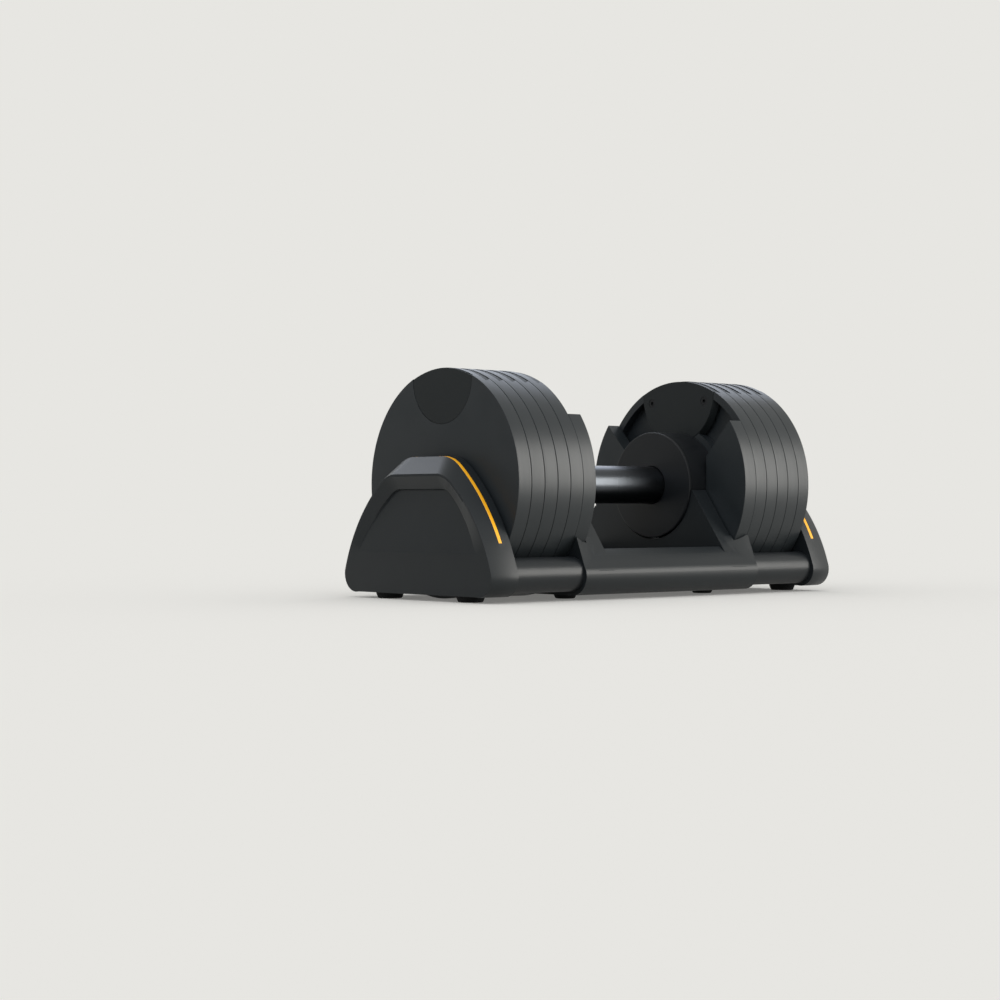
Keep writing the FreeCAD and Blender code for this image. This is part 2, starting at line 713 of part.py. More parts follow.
def selector_rod(side, turn):
    """A selector rod with a bevelled nose and a cross hole for its pin."""
    body = turned(f"{side}_rod_body", [
        ("rod_inner", "0"), ("rod_inner", "rod_radius"), ("rod_tip - 1.5", "rod_radius"),
        ("rod_tip", "rod_radius - 1.5"), ("rod_tip", "0"),
    ])
    doc.recompute()
    sketch = new_sketch(body, "XY_Plane", "-5")
    circle(sketch, f"rod_inner + {PIN_INSET}", "0", PIN_RADIUS)
    pocket(body, sketch, "30")
    return keep(body, f"{side}_selector_rod", turn)


def rod_pin(side, turn):
    pin = doc.addObject("Part::Cylinder", f"{side}_pin")
    bind(pin, Radius=PIN_RADIUS, Height="grip_bore - 0.2 + 5")
    bind(pin, **{"Placement.Base.x": f"rod_inner + {PIN_INSET}", "Placement.Base.z": "-5"})
    whole = doc.addObject("Part::Compound", f"{side}_pin_seat")
    whole.Links = [pin]
    return keep(whole, f"{side}_rod_pin", turn)


def handle():
    for side, turn in SIDES:
        hub_cap(side, turn)
        hub_shell(side, turn)
        guide_blade(side, turn)
        bush(side, turn)
        selector_rod(side, turn)
        rod_pin(side, turn)
    blade_screws()
    spine_tube()
    drive_sleeve()
    grip()
    index_wheel()
    lock_gate()
    click_ball()
    coil("click_spring", BALL_X, "-38", f"-({BALL_DROP} + {BALL_RADIUS})", 1.3, 0.25, 6)
    coil("lock_spring", "75.35", "30", "43", 1.8, 0.4, 7)


# ---------------------------------------------------------------- cradle

def rail(label, sign):
    """A straight round tube from one end support to the other."""
    outer = rod_along_x(label + "_outside", "-(support_inner + 20)", "2 * (support_inner + 20)",
                        "rail_radius", f"{sign}rail_y", "rail_z")
    inner = rod_along_x(label + "_inside", "-(support_inner + 30)", "2 * (support_inner + 30)",
                        "rail_radius - rail_wall", f"{sign}rail_y", "rail_z")
    return keep(joined("Cut", label + "_tube", [outer, inner]), label)


R = "plate_radius * "
ARCH_OUTER = {
    "bottom": ("0.80", "-0.955"), "heel": ("0.955", "-0.905"), "low": ("0.994", "-0.77"),
    "side": ("0.856", "-0.439"), "high": ("0.470", "0.010"), "brow": ("0.420", "0.052"),
    "top": ("0.350", "0.075"),
}
ARCH_INNER = {
    "bottom": ("0.84", "-0.955"), "heel": ("0.990", "-0.905"), "low": ("1.030", "-0.77"),
    "side": ("0.863", "-0.385"), "high": ("0.411", "0.149"), "brow": ("0.360", "0.197"),
    "top": ("0.290", "0.226"),
}


def arch_point(arch, name, side=1):
    across, up = arch[name]
    radius = DIMS["plate_radius"]
    return FreeCAD.Vector(side * float(across) * radius, float(up) * radius, 0)


def draw_arch(sketch, arch):
    """The arched outline of an end support: flat foot, round heels, bowed sides, flat top."""
    right = {name: arch_point(arch, name) for name in arch}
    left = {name: arch_point(arch, name, -1) for name in arch}
    sketch.addGeometry(Part.LineSegment(left["bottom"], right["bottom"]))
    sketch.addGeometry(Part.Arc(right["bottom"], right["heel"], right["low"]))
    sketch.addGeometry(Part.Arc(right["low"], right["side"], right["high"]))
    sketch.addGeometry(Part.Arc(right["high"], right["brow"], right["top"]))
    sketch.addGeometry(Part.LineSegment(right["top"], left["top"]))
    sketch.addGeometry(Part.Arc(left["top"], left["brow"], left["high"]))
    sketch.addGeometry(Part.Arc(left["high"], left["side"], left["low"]))
    sketch.addGeometry(Part.Arc(left["low"], left["heel"], left["bottom"]))


STRIP_START = "support_ridge - 3.8"
STRIP_WIDTH = "3.4"
STRIP_DEPTH = 1.2
STRIP_LOW = 0.30
STRIP_HIGH = 0.985


def strip_sector(sketch, side):
    """The inlay's section: a thin band along the bowed side of the arch."""
    ends = [arch_point(ARCH_INNER, name) for name in ("low", "side", "high")]
    bow = Part.Arc(*ends).toShape()
    first, last = bow.FirstParameter, bow.LastParameter
    shares = (STRIP_LOW, (STRIP_LOW + STRIP_HIGH) / 2, STRIP_HIGH)
    angles = [first + (last - first) * share for share in shares]
    centre, radius = bow.Curve.Center, bow.Curve.Radius

    def spot(angle, reach):
        point = bow.valueAt(angle) - centre
        point = centre + point.normalize() * reach
        return FreeCAD.Vector(side * point.x, point.y, 0)

    outer = [spot(angle, radius) for angle in angles]
    inner = [spot(angle, radius - STRIP_DEPTH) for angle in angles]
    sketch.addGeometry(Part.Arc(*outer))
    sketch.addGeometry(Part.LineSegment(outer[2], inner[2]))
    sketch.addGeometry(Part.Arc(*inner[::-1]))
    sketch.addGeometry(Part.LineSegment(inner[0], outer[0]))


SCOOP_TILT = -6.5
SCOOP_FLARE = 58.0
SCOOP_DEPTH = "6"
SCOOP_TOP = R + "-0.05"
SCOOP_SIDE = (
    (R + "0.28", "0"),
    (R + "0.40", R + "-0.07"),
    (R + "0.57", R + "-0.24"),
    (R + "0.74", R + "-0.48"),
    (R + "0.86", R + "-0.72"),
)


def end_support(side, turn):
    """An arched end support, scooped on its outer face, with sockets for the two rails."""
    body = new_body(f"{side}_support_body")
    outer = new_sketch(body, "YZ_Plane", "support_outer")
    draw_arch(outer, ARCH_OUTER)
    ridge = new_sketch(body, "YZ_Plane", "support_ridge")
    draw_arch(ridge, ARCH_INNER)
    loft = body.newObject("PartDesign::AdditiveLoft", "draft")
    loft.Profile = ridge
    loft.Sections = [outer]
    loft.Ruled = True
    doc.recompute()
    back = new_sketch(body, "YZ_Plane", "support_inner")
    draw_arch(back, ARCH_INNER)
    pad = body.newObject("PartDesign::Pad", "inner_part")
    pad.Profile = back
    bind(pad, Length="support_ridge - support_inner")
    doc.recompute()
    round_cut(body, "support_inner - 1", "21", (("rail_y", "rail_z"), ("-rail_y", "rail_z")), "rail_radius")
    scoop = new_sketch(body, "YZ_Plane", f"support_outer - {SCOOP_DEPTH}")
    scoop.AttachmentOffset = FreeCAD.Placement(FreeCAD.Vector(0, 0, 0), FreeCAD.Rotation(X_AXIS, SCOOP_TILT))
    bind(scoop, **{"AttachmentOffset.Base.z": f"support_outer - {SCOOP_DEPTH}", "AttachmentOffset.Base.y": SCOOP_TOP})
    closed_lines(scoop, [(f"-({across})", up) for across, up in SCOOP_SIDE] +
                 [(across, up) for across, up in SCOOP_SIDE[::-1]])
    cut = pocket(body, scoop, "12")
    cut.TaperAngle = SCOOP_FLARE
    for across in (1, -1):
        strip = new_sketch(body, "YZ_Plane", STRIP_START)
        strip_sector(strip, across)
        pocket(body, strip, STRIP_WIDTH)
    return keep(body, f"{side}_end_support", turn)


def accent_trim(side, turn):
    """The two bright inlay strips of one end support."""
    strips = []
    for number, across in enumerate((1, -1)):
        body = new_body(f"{side}_strip_body_{number}")
        sketch = new_sketch(body, "YZ_Plane", STRIP_START)
        strip_sector(sketch, across)
        pad = body.newObject("PartDesign::Pad", "strip")
        pad.Profile = sketch
        bind(pad, Length=STRIP_WIDTH)
        strips.append(body)
    pair = doc.addObject("Part::Compound", f"{side}_strips")
    pair.Links = strips
    return keep(pair, f"{side}_accent_trim", turn)


SADDLE_LIP = (0.865, -0.57)
SADDLE_EDGE = (0.935, -0.625)
SADDLE_CREST = (1.027, -0.75)
SADDLE_BULGE = (1.000, -0.885)
SADDLE_BASE = (0.880, -0.966)
WING_ROOT = ("0.80", "1.005")
WING_TIP = ("0.905", "1.020")
JACKET_RADIUS = "rail_radius + 1.2"
SEAT_START = "-120"
SEAT_REACH = "240"


def saddle_block():
    """The centre block: a tub round the rails, with two upright walls that hold the drums."""
    body = new_body("saddle_body")
    radius = DIMS["plate_radius"]
    low = new_sketch(body, "YZ_Plane", "-saddle_half")
    outline = (SADDLE_LIP, SADDLE_EDGE, SADDLE_CREST, SADDLE_BULGE, SADDLE_BASE)
    points = {
        side: [FreeCAD.Vector(side * a * radius, b * radius, 0) for a, b in outline]
        for side in (1, -1)
    }
    for side in (1, -1):
        top, corner, start, middle, stop = points[side]
        low.addGeometry(Part.LineSegment(top, corner))
        low.addGeometry(Part.LineSegment(corner, start))
        low.addGeometry(Part.Arc(start, middle, stop))
    low.addGeometry(Part.LineSegment(points[1][4], points[-1][4]))
    low.addGeometry(Part.LineSegment(points[1][0], points[-1][0]))
    pad = body.newObject("PartDesign::Pad", "tub")
    pad.Profile = low
    bind(pad, Length="2 * saddle_half")
    doc.recompute()
    for end in ("", "-"):
        for side in ("", "-"):
            root = new_sketch(body, "YZ_Plane", f"{end}(wall_outer - 4)")
            tip = new_sketch(body, "YZ_Plane", f"{end}saddle_half")
            for sketch, (brow, foot) in ((root, WING_ROOT), (tip, WING_TIP)):
                closed_lines(sketch, [(f"{R}{side}0.70", R + "-0.47"), (f"{R}{side}{brow}", R + "-0.47"),
                                      (f"{R}{side}{foot}", R + "-0.76"), (f"{R}{side}0.88", R + "-0.80")])
            flare = body.newObject("PartDesign::AdditiveLoft", "wing")
            flare.Profile = root
            flare.Sections = [tip]
            flare.Ruled = True
            doc.recompute()
    for start in ("wall_outer + 0.4", "-(wall_outer + 0.4 + 40)"):
        clear = new_sketch(body, "YZ_Plane", start)
        circle(clear, "0", "0", "plate_radius + 0.8")
        pocket(body, clear, "40")
        doc.recompute()
    for start in ("wall_inner", "-wall_outer"):
        horn = new_sketch(body, "YZ_Plane", start)
        closed_lines(horn, [(R + "-1.027", R + "-0.75"), (R + "-0.535", R + "-0.075"), (R + "-0.515", R + "-0.05"),
                            (R + "0.515", R + "-0.05"), (R + "0.535", R + "-0.075"), (R + "1.027", R + "-0.75"),
                            (R + "0.86", R + "-0.90"), (R + "-0.86", R + "-0.90")])
        wall = body.newObject("PartDesign::Pad", "wall")
        wall.Profile = horn
        bind(wall, Length="wall_outer - wall_inner")
        doc.recompute()
    hollow = new_sketch(body, "YZ_Plane", "-wall_inner")
    closed_lines(hollow, [(R + "-0.85", R + "-0.4"), (R + "0.85", R + "-0.4"), (R + "0.85", R + "-0.60"),
                          (R + "0.80", R + "-0.91"), (R + "-0.80", R + "-0.91"), (R + "-0.85", R + "-0.60")])
    pocket(body, hollow, "2 * wall_inner")
    doc.recompute()
    for across in ("rail_y", "-rail_y"):
        jacket = new_sketch(body, "YZ_Plane", "-(wall_inner + 1)")
        circle(jacket, across, "rail_z", JACKET_RADIUS)
        sleeve = body.newObject("PartDesign::Pad", "jacket")
        sleeve.Profile = jacket
        bind(sleeve, Length="2 * (wall_inner + 1)")
        doc.recompute()
    seat = new_sketch(body, "YZ_Plane", SEAT_START)
    circle(seat, "0", "0", "drum_seat")
    pocket(body, seat, SEAT_REACH)
    doc.recompute()
    round_cut(body, SEAT_START, SEAT_REACH, (("rail_y", "rail_z"), ("-rail_y", "rail_z")), "rail_radius")
    key = new_sketch(body, "XY_Plane", "-62")
    closed_lines(key, [("74.2", "-4"), ("76.5", "-4"), ("76.5", "4"), ("74.2", "4")])
    pocket(body, key, "30")
    return keep(body, "saddle_block")


def release_key():
    """The steel key in the saddle wall that lifts the lock gate while the dumbbell is docked."""
    fin = block("key_fin", ("74.2", "-4", "-62"), ("76.5", "4", KEY_TOP))
    whole = doc.addObject("Part::Compound", "key_seat")
    whole.Links = [fin]
    return keep(whole, "release_key")


def feet(label, spots, radius, top):
    """Round rubber pads, wider at the top, from the floor up to the underside of their casting."""
    pads = []
    for number, (along, across) in enumerate(spots):
        pad = doc.addObject("Part::Cone", f"{label}_{number}")
        bind(pad, Radius1=f"{radius} - 2", Radius2=radius, Height=f"axis_height + {top}")
        bind(pad, **{"Placement.Base.x": along, "Placement.Base.y": across, "Placement.Base.z": "-axis_height"})
        pads.append(pad)
    group = doc.addObject("Part::Compound", label + "_group")
    group.Links = pads
    return keep(group, label)


def four(along, across):
    return [(f"{a}{along}", f"{b}{across}") for a in ("", "-") for b in ("", "-")]


def cradle():
    rail("front_rail", "-")
    rail("rear_rail", "")
    for side, turn in SIDES:
        end_support(side, turn)
        accent_trim(side, turn)
    saddle_block()
    release_key()
    feet("support_feet", four("188", "52"), "12", "plate_radius * -0.955")
    feet("saddle_feet", four("83", "50"), "10", "plate_radius * -0.966")


weights()
handle()
cradle()
doc.recompute()

os.makedirs("parts", exist_ok=True)
for thing in SUBPARTS:
    shape = thing.Shape
    bad = [s for s in thing.State if s in ("Invalid", "Error")]
    if bad or shape.isNull() or not shape.isValid():
        raise RuntimeError(f"{thing.Label} failed: {thing.State}")
    shape.exportStep(f"parts/{thing.Label}.step")
    print(thing.Label, len(shape.Solids), round(shape.Volume / 1000, 2))
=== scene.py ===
"""Adjustable dumbbell docked in its cradle: the looks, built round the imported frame."""

import json
import logging
import math
from collections.abc import Callable, Iterator, Sequence
from contextlib import contextmanager
from dataclasses import dataclass
from enum import Enum

import bmesh
import bpy
from mathutils import Euler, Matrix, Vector


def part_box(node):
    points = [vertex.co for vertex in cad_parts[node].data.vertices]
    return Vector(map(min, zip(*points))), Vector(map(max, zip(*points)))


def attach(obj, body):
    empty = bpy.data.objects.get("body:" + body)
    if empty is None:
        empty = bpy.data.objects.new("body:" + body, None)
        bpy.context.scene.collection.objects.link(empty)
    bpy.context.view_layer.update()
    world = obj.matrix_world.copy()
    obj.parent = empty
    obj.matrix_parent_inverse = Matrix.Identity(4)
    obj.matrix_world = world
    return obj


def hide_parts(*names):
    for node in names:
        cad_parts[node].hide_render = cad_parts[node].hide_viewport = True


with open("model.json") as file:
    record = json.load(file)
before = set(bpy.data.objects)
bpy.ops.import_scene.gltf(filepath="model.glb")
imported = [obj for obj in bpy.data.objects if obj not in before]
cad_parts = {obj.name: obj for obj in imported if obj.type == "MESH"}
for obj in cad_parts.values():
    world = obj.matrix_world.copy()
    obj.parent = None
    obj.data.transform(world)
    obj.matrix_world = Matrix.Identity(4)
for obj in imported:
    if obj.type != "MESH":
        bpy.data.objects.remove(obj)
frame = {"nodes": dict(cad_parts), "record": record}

LOG = logging.getLogger("dumbbell")
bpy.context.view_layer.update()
MM = 0.001
# How far a cutting tool stands out past what it cuts, and a length that cuts right through.
OVERCUT = 1 * MM
LONG_CUT = 20 * MM
# A quarter circle's 45 degree point, as a share of its radius in from each side.
CORNER_SHARE = 0.29


def box_middle(node: str) -> Vector:
    """The middle of a CAD node's box."""
    low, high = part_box(node)
    return (low + high) / 2


def box_size(node: str) -> Vector:
    """The lengths of a CAD node's box."""
    low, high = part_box(node)
    return high - low


AXIS_HEIGHT = box_middle("grip").z
PLATE_RADIUS = box_size("right_plate_3").y / 2


# ---------------------------------------------------------------- materials


def linear(code: str) -> tuple[float, float, float, float]:
    """A colour for a shader socket.

    Args:
        code: The sRGB colour as six hex digits.

    Returns:
        Linear red, green, blue and an alpha of one.
    """
    channels = [int(code[i : i + 2], 16) / 255 for i in (0, 2, 4)]
    lin = [c / 12.92 if c <= 0.04045 else ((c + 0.055) / 1.055) ** 2.4 for c in channels]
    return (lin[0], lin[1], lin[2], 1.0)


def add_node(tree: bpy.types.NodeTree, kind: str, settings: dict, links: dict) -> bpy.types.Node:
    """Add a shader node with its settings and its incoming links.

    Args:
        tree: The material's node tree.
        kind: The node's type, such as ShaderNodeTexNoise.
        settings: Properties by name, or input values by socket name or number.
        links: Input socket name or number to the output socket that feeds it.

    Returns:
        The new node.
    """
    made = tree.nodes.new(kind)
    for name, setting in settings.items():
        if isinstance(name, str) and hasattr(made, name):
            setattr(made, name, setting)
        else:
            made.inputs[name].default_value = setting
    for name, source in links.items():
        tree.links.new(source, made.inputs[name])
    return made


class Grain(Enum):
    """Which way a surface's fine pattern runs."""

    EVEN = "even"
    AROUND_X = "around the handle"
    ALONG_X = "along the handle"


@dataclass(frozen=True)
class Finish:
    """A surface finish of one real material.

    The pattern has two scales: a fine grain that tilts the light and moves the gloss a little, and a broad
    mottle that moves colour a little.
    """

    name: str
    slot: str
    colour: str
    mottle_colour: str
    metallic: float
    roughness: float
    rough_spread: float
    grain_mm: float
    grain_depth_mm: float
    mottle_mm: float = 40.0
    grain: Grain = Grain.EVEN
    stretch: float = 60.0
    coat: float = 0.0
    coat_roughness: float = 0.2
    specular: float = 0.5
    ior: float = 1.5

    def grain_scale(self) -> tuple[float, float, float]:
        """Work out the grain's scale.

        Returns:
            Pattern repeats per metre on each axis.
        """
        fine = 1 / (self.grain_mm * MM)
        if self.grain is Grain.AROUND_X:
            return (fine, fine / self.stretch, fine / self.stretch)
        if self.grain is Grain.ALONG_X:
            return (fine / self.stretch, fine, fine)
        return (fine, fine, fine)

    def build(self) -> bpy.types.Material:
        """Make the material.

        Returns:
            A Blender material with its nodes.
        """
        material = bpy.data.materials.new(self.name)
        material.use_nodes = True
        tree = material.node_tree
        shader = tree.nodes["Principled BSDF"]
        place = add_node(tree, "ShaderNodeTexCoord", {}, {}).outputs["Object"]
        mottle = add_node(
            tree, "ShaderNodeTexNoise",
            {"Scale": 1 / (self.mottle_mm * MM), "Detail": 5.0, "Roughness": 0.6},
            {"Vector": place},
        )
        stretched = add_node(tree, "ShaderNodeMapping", {"Scale": self.grain_scale()}, {"Vector": place})
        grain = add_node(
            tree, "ShaderNodeTexNoise", {"Scale": 1.0, "Detail": 4.0, "Roughness": 0.65},
            {"Vector": stretched.outputs["Vector"]},
        )
        tint = add_node(
            tree, "ShaderNodeMix",
            {"data_type": "RGBA"},
            {"Factor": mottle.outputs["Fac"]},
        )
        tint.inputs[6].default_value = linear(self.colour)
        tint.inputs[7].default_value = linear(self.mottle_colour)
        gloss = add_node(
            tree, "ShaderNodeMapRange",
            {"To Min": self.roughness - self.rough_spread, "To Max": self.roughness + self.rough_spread,
             "From Min": 0.3, "From Max": 0.7},
            {"Value": grain.outputs["Fac"]},
        )
        bump = add_node(
            tree, "ShaderNodeBump",
            {"Strength": 1.0, "Distance": self.grain_depth_mm * MM},
            {"Height": grain.outputs["Fac"]},
        )
        tree.links.new(tint.outputs[2], shader.inputs["Base Color"])
        tree.links.new(gloss.outputs["Result"], shader.inputs["Roughness"])
        tree.links.new(bump.outputs["Normal"], shader.inputs["Normal"])
        shader.inputs["Metallic"].default_value = self.metallic
        shader.inputs["Coat Weight"].default_value = self.coat
        shader.inputs["Coat Roughness"].default_value = self.coat_roughness
        shader.inputs["Specular IOR Level"].default_value = self.specular
        if self.metallic < 0.5:
            shader.inputs["IOR"].default_value = self.ior
        return material


# Epoxy powder coat over turned steel: satin, with fine turning lines still showing on the rims.
COATED_RIM = Finish("powder_coated_steel", "coated_steel", "1B1F21", "212527", 0.0, 0.38, 0.05, 0.5, 0.010,
                    grain=Grain.AROUND_X, stretch=120.0, specular=0.34)
# Glass-filled nylon, moulded: a touch darker and flatter than the coated steel.
GUIDE_NYLON = Finish("moulded_nylon", "guide_polymer", "121617", "171B1C", 0.0, 0.50, 0.05, 0.7, 0.012,
                     specular=0.22)
# Satin ABS housing, spark-eroded mould: soft wide highlights.
HUB_ABS = Finish("satin_abs", "hub_polymer", "121416", "17191B", 0.0, 0.40, 0.04, 0.5, 0.008, specular=0.28)
# Black-nickel plated steel tube, satin ground round and round.
GRIP_STEEL = Finish("satin_plated_steel", "grip_steel", "46494D", "4E5155", 1.0, 0.29, 0.02, 0.35, 0.0015,
                    grain=Grain.AROUND_X, stretch=150.0)
# Turned and milled carbon steel.
BARE_STEEL = Finish("turned_steel", "machined_steel", "8C8E90", "9A9C9E", 1.0, 0.30, 0.06, 0.4, 0.006,
                    grain=Grain.AROUND_X, stretch=80.0)
# Black-oxide screws: dark, slightly oily sheen.
BLACK_OXIDE = Finish("black_oxide", "screw_steel", "1A1B1D", "222325", 0.6, 0.38, 0.05, 0.5, 0.004)
# Sintered bronze bush.
BRONZE = Finish("sintered_bronze", "bronze_bush", "9A7A45", "8A6A3A", 1.0, 0.45, 0.06, 0.3, 0.006)
# Powder-coated drawn tube: smooth, even satin.
RAIL_COAT = Finish("coated_tube", "rail_tube", "181B1D", "1D2022", 0.0, 0.36, 0.04, 0.8, 0.006,
                   grain=Grain.ALONG_X, stretch=30.0, specular=0.28)
# Moulded polypropylene with a fine matt texture.
CRADLE_PP = Finish("moulded_polypropylene", "cradle_polymer", "14181A", "191D1F", 0.0, 0.40, 0.05, 0.6, 0.014,
                   specular=0.30)
# Amber acrylic inlay, satin.
AMBER = Finish("amber_acrylic", "amber_inlay", "F2AE1C", "EAA414", 0.0, 0.35, 0.04, 1.2, 0.004)
# Natural rubber: dead matt.
RUBBER = Finish("black_rubber", "foot_rubber", "0E0F10", "131415", 0.0, 0.78, 0.08, 0.8, 0.03, specular=0.2)

FINISHES = (COATED_RIM, GUIDE_NYLON, HUB_ABS, GRIP_STEEL, BARE_STEEL, BLACK_OXIDE, BRONZE, RAIL_COAT,
            CRADLE_PP, AMBER, RUBBER)


class Paints:
    """The materials, made once and looked up by the record's slot."""

    def __init__(self) -> None:
        """Build every finish."""
        self.by_slot = {finish.slot: finish.build() for finish in FINISHES}
        self.slot_of = {s["node"]: s["material_slot"] for s in frame["record"]["subparts"]}

    def dress_nodes(self) -> None:
        """Give every CAD node that stays the material of its slot."""
        for node, thing in frame["nodes"].items():
            thing.data.materials.clear()
            thing.data.materials.append(self.by_slot[self.slot_of[node]])


# ---------------------------------------------------------------- bench tools

Thing = bpy.types.Object
Point = tuple[float, float]


def clear_selection() -> None:
    """Deselect everything."""
    for thing in bpy.context.selected_objects:
        thing.select_set(False)


def take(thing: Thing) -> None:
    """Make one object the only selected one and the active one.

    Args:
        thing: The object to select.
    """
    clear_selection()
    thing.hide_set(False)
    thing.select_set(True)
    bpy.context.view_layer.objects.active = thing


@contextmanager
def editing(thing: Thing, kind: str = "VERT") -> Iterator[None]:
    """Edit mode on one object, with everything in it selected.

    Args:
        thing: The object to edit.
        kind: VERT, EDGE or FACE selection.

    Yields:
        Nothing; the object leaves edit mode afterwards.
    """
    take(thing)
    bpy.ops.object.mode_set(mode="EDIT")
    bpy.ops.mesh.select_mode(type=kind)
    bpy.ops.mesh.select_all(action="SELECT")
    try:
        yield
    finally:
        bpy.ops.object.mode_set(mode="OBJECT")


def pick_faces(thing: Thing, test: Callable[[Vector, Vector], bool]) -> int:
    """Select the faces that pass a test of their middle and normal.

    Args:
        thing: The object in edit mode.
        test: Takes a face's middle and normal and says whether it is wanted.

    Returns:
        How many faces are selected.
    """
    mesh = bmesh.from_edit_mesh(thing.data)
    mesh.normal_update()
    for face in mesh.faces:
        face.select_set(False)
    chosen = [face for face in mesh.faces if test(face.calc_center_median(), face.normal)]
    for face in chosen:
        face.select_set(True)
    bmesh.update_edit_mesh(thing.data)
    return len(chosen)


def started(name: str) -> Thing:
    """Name the primitive just added and put its place into its mesh.

    Args:
        name: The piece's name.

    Returns:
        The primitive's object, at the origin.
    """
    thing = bpy.context.active_object
    thing.name = thing.data.name = name
    bpy.ops.object.transform_apply(location=True, rotation=True, scale=True)
    return thing


def turned(name: str, profile: Sequence[Point], centre: Point = (0.0, 0.0), segments: int = 128,
           hollow: bool = False) -> Thing:
    """A piece turned about a line along the handle.

    A ring is drawn at the first station and extruded from station to station.

    Args:
        name: The piece's name.
        profile: Stations as (place along the handle, radius).
        centre: The turning line's place across and above the handle's axis.
        segments: Facets round the piece.
        hollow: Join the last station to the first, as a tube is, instead of closing both ends.

    Returns:
        The closed solid.
    """
    clear_selection()
    along, radius = profile[0]
    middle = (along, centre[0], AXIS_HEIGHT + centre[1])
    bpy.ops.mesh.primitive_circle_add(vertices=segments, radius=radius, location=middle,
                                      rotation=(0.0, math.pi / 2, 0.0))
    thing = started(name)
    with editing(thing, "EDGE"):
        for (old_place, old_radius), (place, new_radius) in zip(profile, profile[1:]):
            bpy.ops.mesh.extrude_region_move(TRANSFORM_OT_translate={"value": (place - old_place, 0.0, 0.0)})
            grow = new_radius / old_radius
            bpy.ops.transform.resize(value=(1.0, grow, grow),
                                     center_override=(place, centre[0], AXIS_HEIGHT + centre[1]))
        bpy.ops.mesh.select_all(action="DESELECT")
        bpy.ops.mesh.select_non_manifold()
        if hollow:
            bpy.ops.mesh.bridge_edge_loops()
        else:
            bpy.ops.mesh.fill_holes(sides=0)
        outward()
    return thing


def outward() -> None:
    """In edit mode, merge doubles and turn every face outwards."""
    bpy.ops.mesh.select_all(action="SELECT")
    bpy.ops.mesh.remove_doubles(threshold=0.000001)
    bpy.ops.mesh.normals_make_consistent(inside=False)


def drawn(name: str, along: float, points: Sequence[Point], depth: float = 0.0) -> Thing:
    """An outline across the handle, drawn point by point, then filled and pulled along the handle.

    Args:
        name: The piece's name.
        along: Where the outline stands on the handle's axis.
        points: The outline as (across, above the axis).
        depth: How far it is pulled along the handle; nought leaves a flat face.

    Returns:
        The solid, or the flat face.
    """
    clear_selection()
    bpy.ops.mesh.primitive_plane_add(size=MM, location=(along, points[0][0], AXIS_HEIGHT + points[0][1]))
    thing = started(name)
    with editing(thing):
        bpy.ops.mesh.merge(type="CENTER")
        for (y0, z0), (y1, z1) in zip(points, points[1:]):
            bpy.ops.mesh.extrude_region_move(TRANSFORM_OT_translate={"value": (0.0, y1 - y0, z1 - z0)})
        bpy.ops.mesh.select_all(action="SELECT")
        bpy.ops.mesh.edge_face_add()
        if depth:
            bpy.ops.mesh.extrude_region_move(TRANSFORM_OT_translate={"value": (depth, 0.0, 0.0)})
        outward()
    return thing


def arc(start: Point, middle: Point, stop: Point, steps: int = 12) -> list[Point]:
    """Points along the arc through three points.

    Args:
        start: Its first point.
        middle: A point on the way.
        stop: Its last point, which is left off the result.
        steps: How many points to give.

    Returns:
        The points in order.
    """
    (ax, ay), (bx, by), (cx, cy) = start, middle, stop
    turn = 2 * (ax * (by - cy) + bx * (cy - ay) + cx * (ay - by))
    ux = ((ax**2 + ay**2) * (by - cy) + (bx**2 + by**2) * (cy - ay) + (cx**2 + cy**2) * (ay - by)) / turn
    uy = ((ax**2 + ay**2) * (cx - bx) + (bx**2 + by**2) * (ax - cx) + (cx**2 + cy**2) * (bx - ax)) / turn
    radius = math.hypot(ax - ux, ay - uy)
    first, mid, last = (math.atan2(y - uy, x - ux) for x, y in (start, middle, stop))
    sweep = (last - first) % math.tau
    if (mid - first) % math.tau > sweep:
        sweep -= math.tau
    return [
        (ux + radius * math.cos(first + sweep * i / steps), uy + radius * math.sin(first + sweep * i / steps))
        for i in range(steps)
    ]


def rimmed(low: float, high: float, bore: float, radius: float, edge: float,
           share: float = CORNER_SHARE) -> list[Point]:
    """The profile of a ring with both outer corners eased.

    Args:
        low: Where it starts along the handle.
        high: Where it stops.
        bore: Its inner radius.
        radius: Its outer radius.
        edge: How far the corners are eased.
        share: The corner's middle point, as a share of edge in from each side.

    Returns:
        Stations for turned, to be joined last to first.
    """
    eased = share * edge
    return [
        (low, bore), (low, radius - edge), (low + eased, radius - eased), (low + edge, radius),
        (high - edge, radius), (high - eased, radius - eased), (high, radius - edge), (high, bore),
    ]


def u_outline(half: float, risers: Sequence[Point], steps: int) -> list[Point]:
    """A U about the handle's axis: a half round below, and mirrored risers above.

    Args:
        half: The half round's radius.
        risers: The right-hand points above it, going up.
        steps: Facets of the half round.

    Returns:
        The closed outline, without its first point repeated.
    """
    turns = [math.pi + math.pi * i / steps for i in range(steps + 1)]
    foot = [(half * math.cos(turn), half * math.sin(turn)) for turn in turns]
    return foot + list(risers) + [(-across, up) for across, up in risers[::-1]]


def applied(thing: Thing, kind: str, **settings: object) -> Thing:
    """Add a modifier, set it and apply it.

    Args:
        thing: The object that gets it.
        kind: The modifier's type, such as BEVEL.
        settings: Its properties by name.

    Returns:
        The same object.
    """
    take(thing)
    extra = thing.modifiers.new(kind.lower(), kind)
    for name, setting in settings.items():
        setattr(extra, name, setting)
    bpy.ops.object.modifier_apply(modifier=extra.name)
    return thing


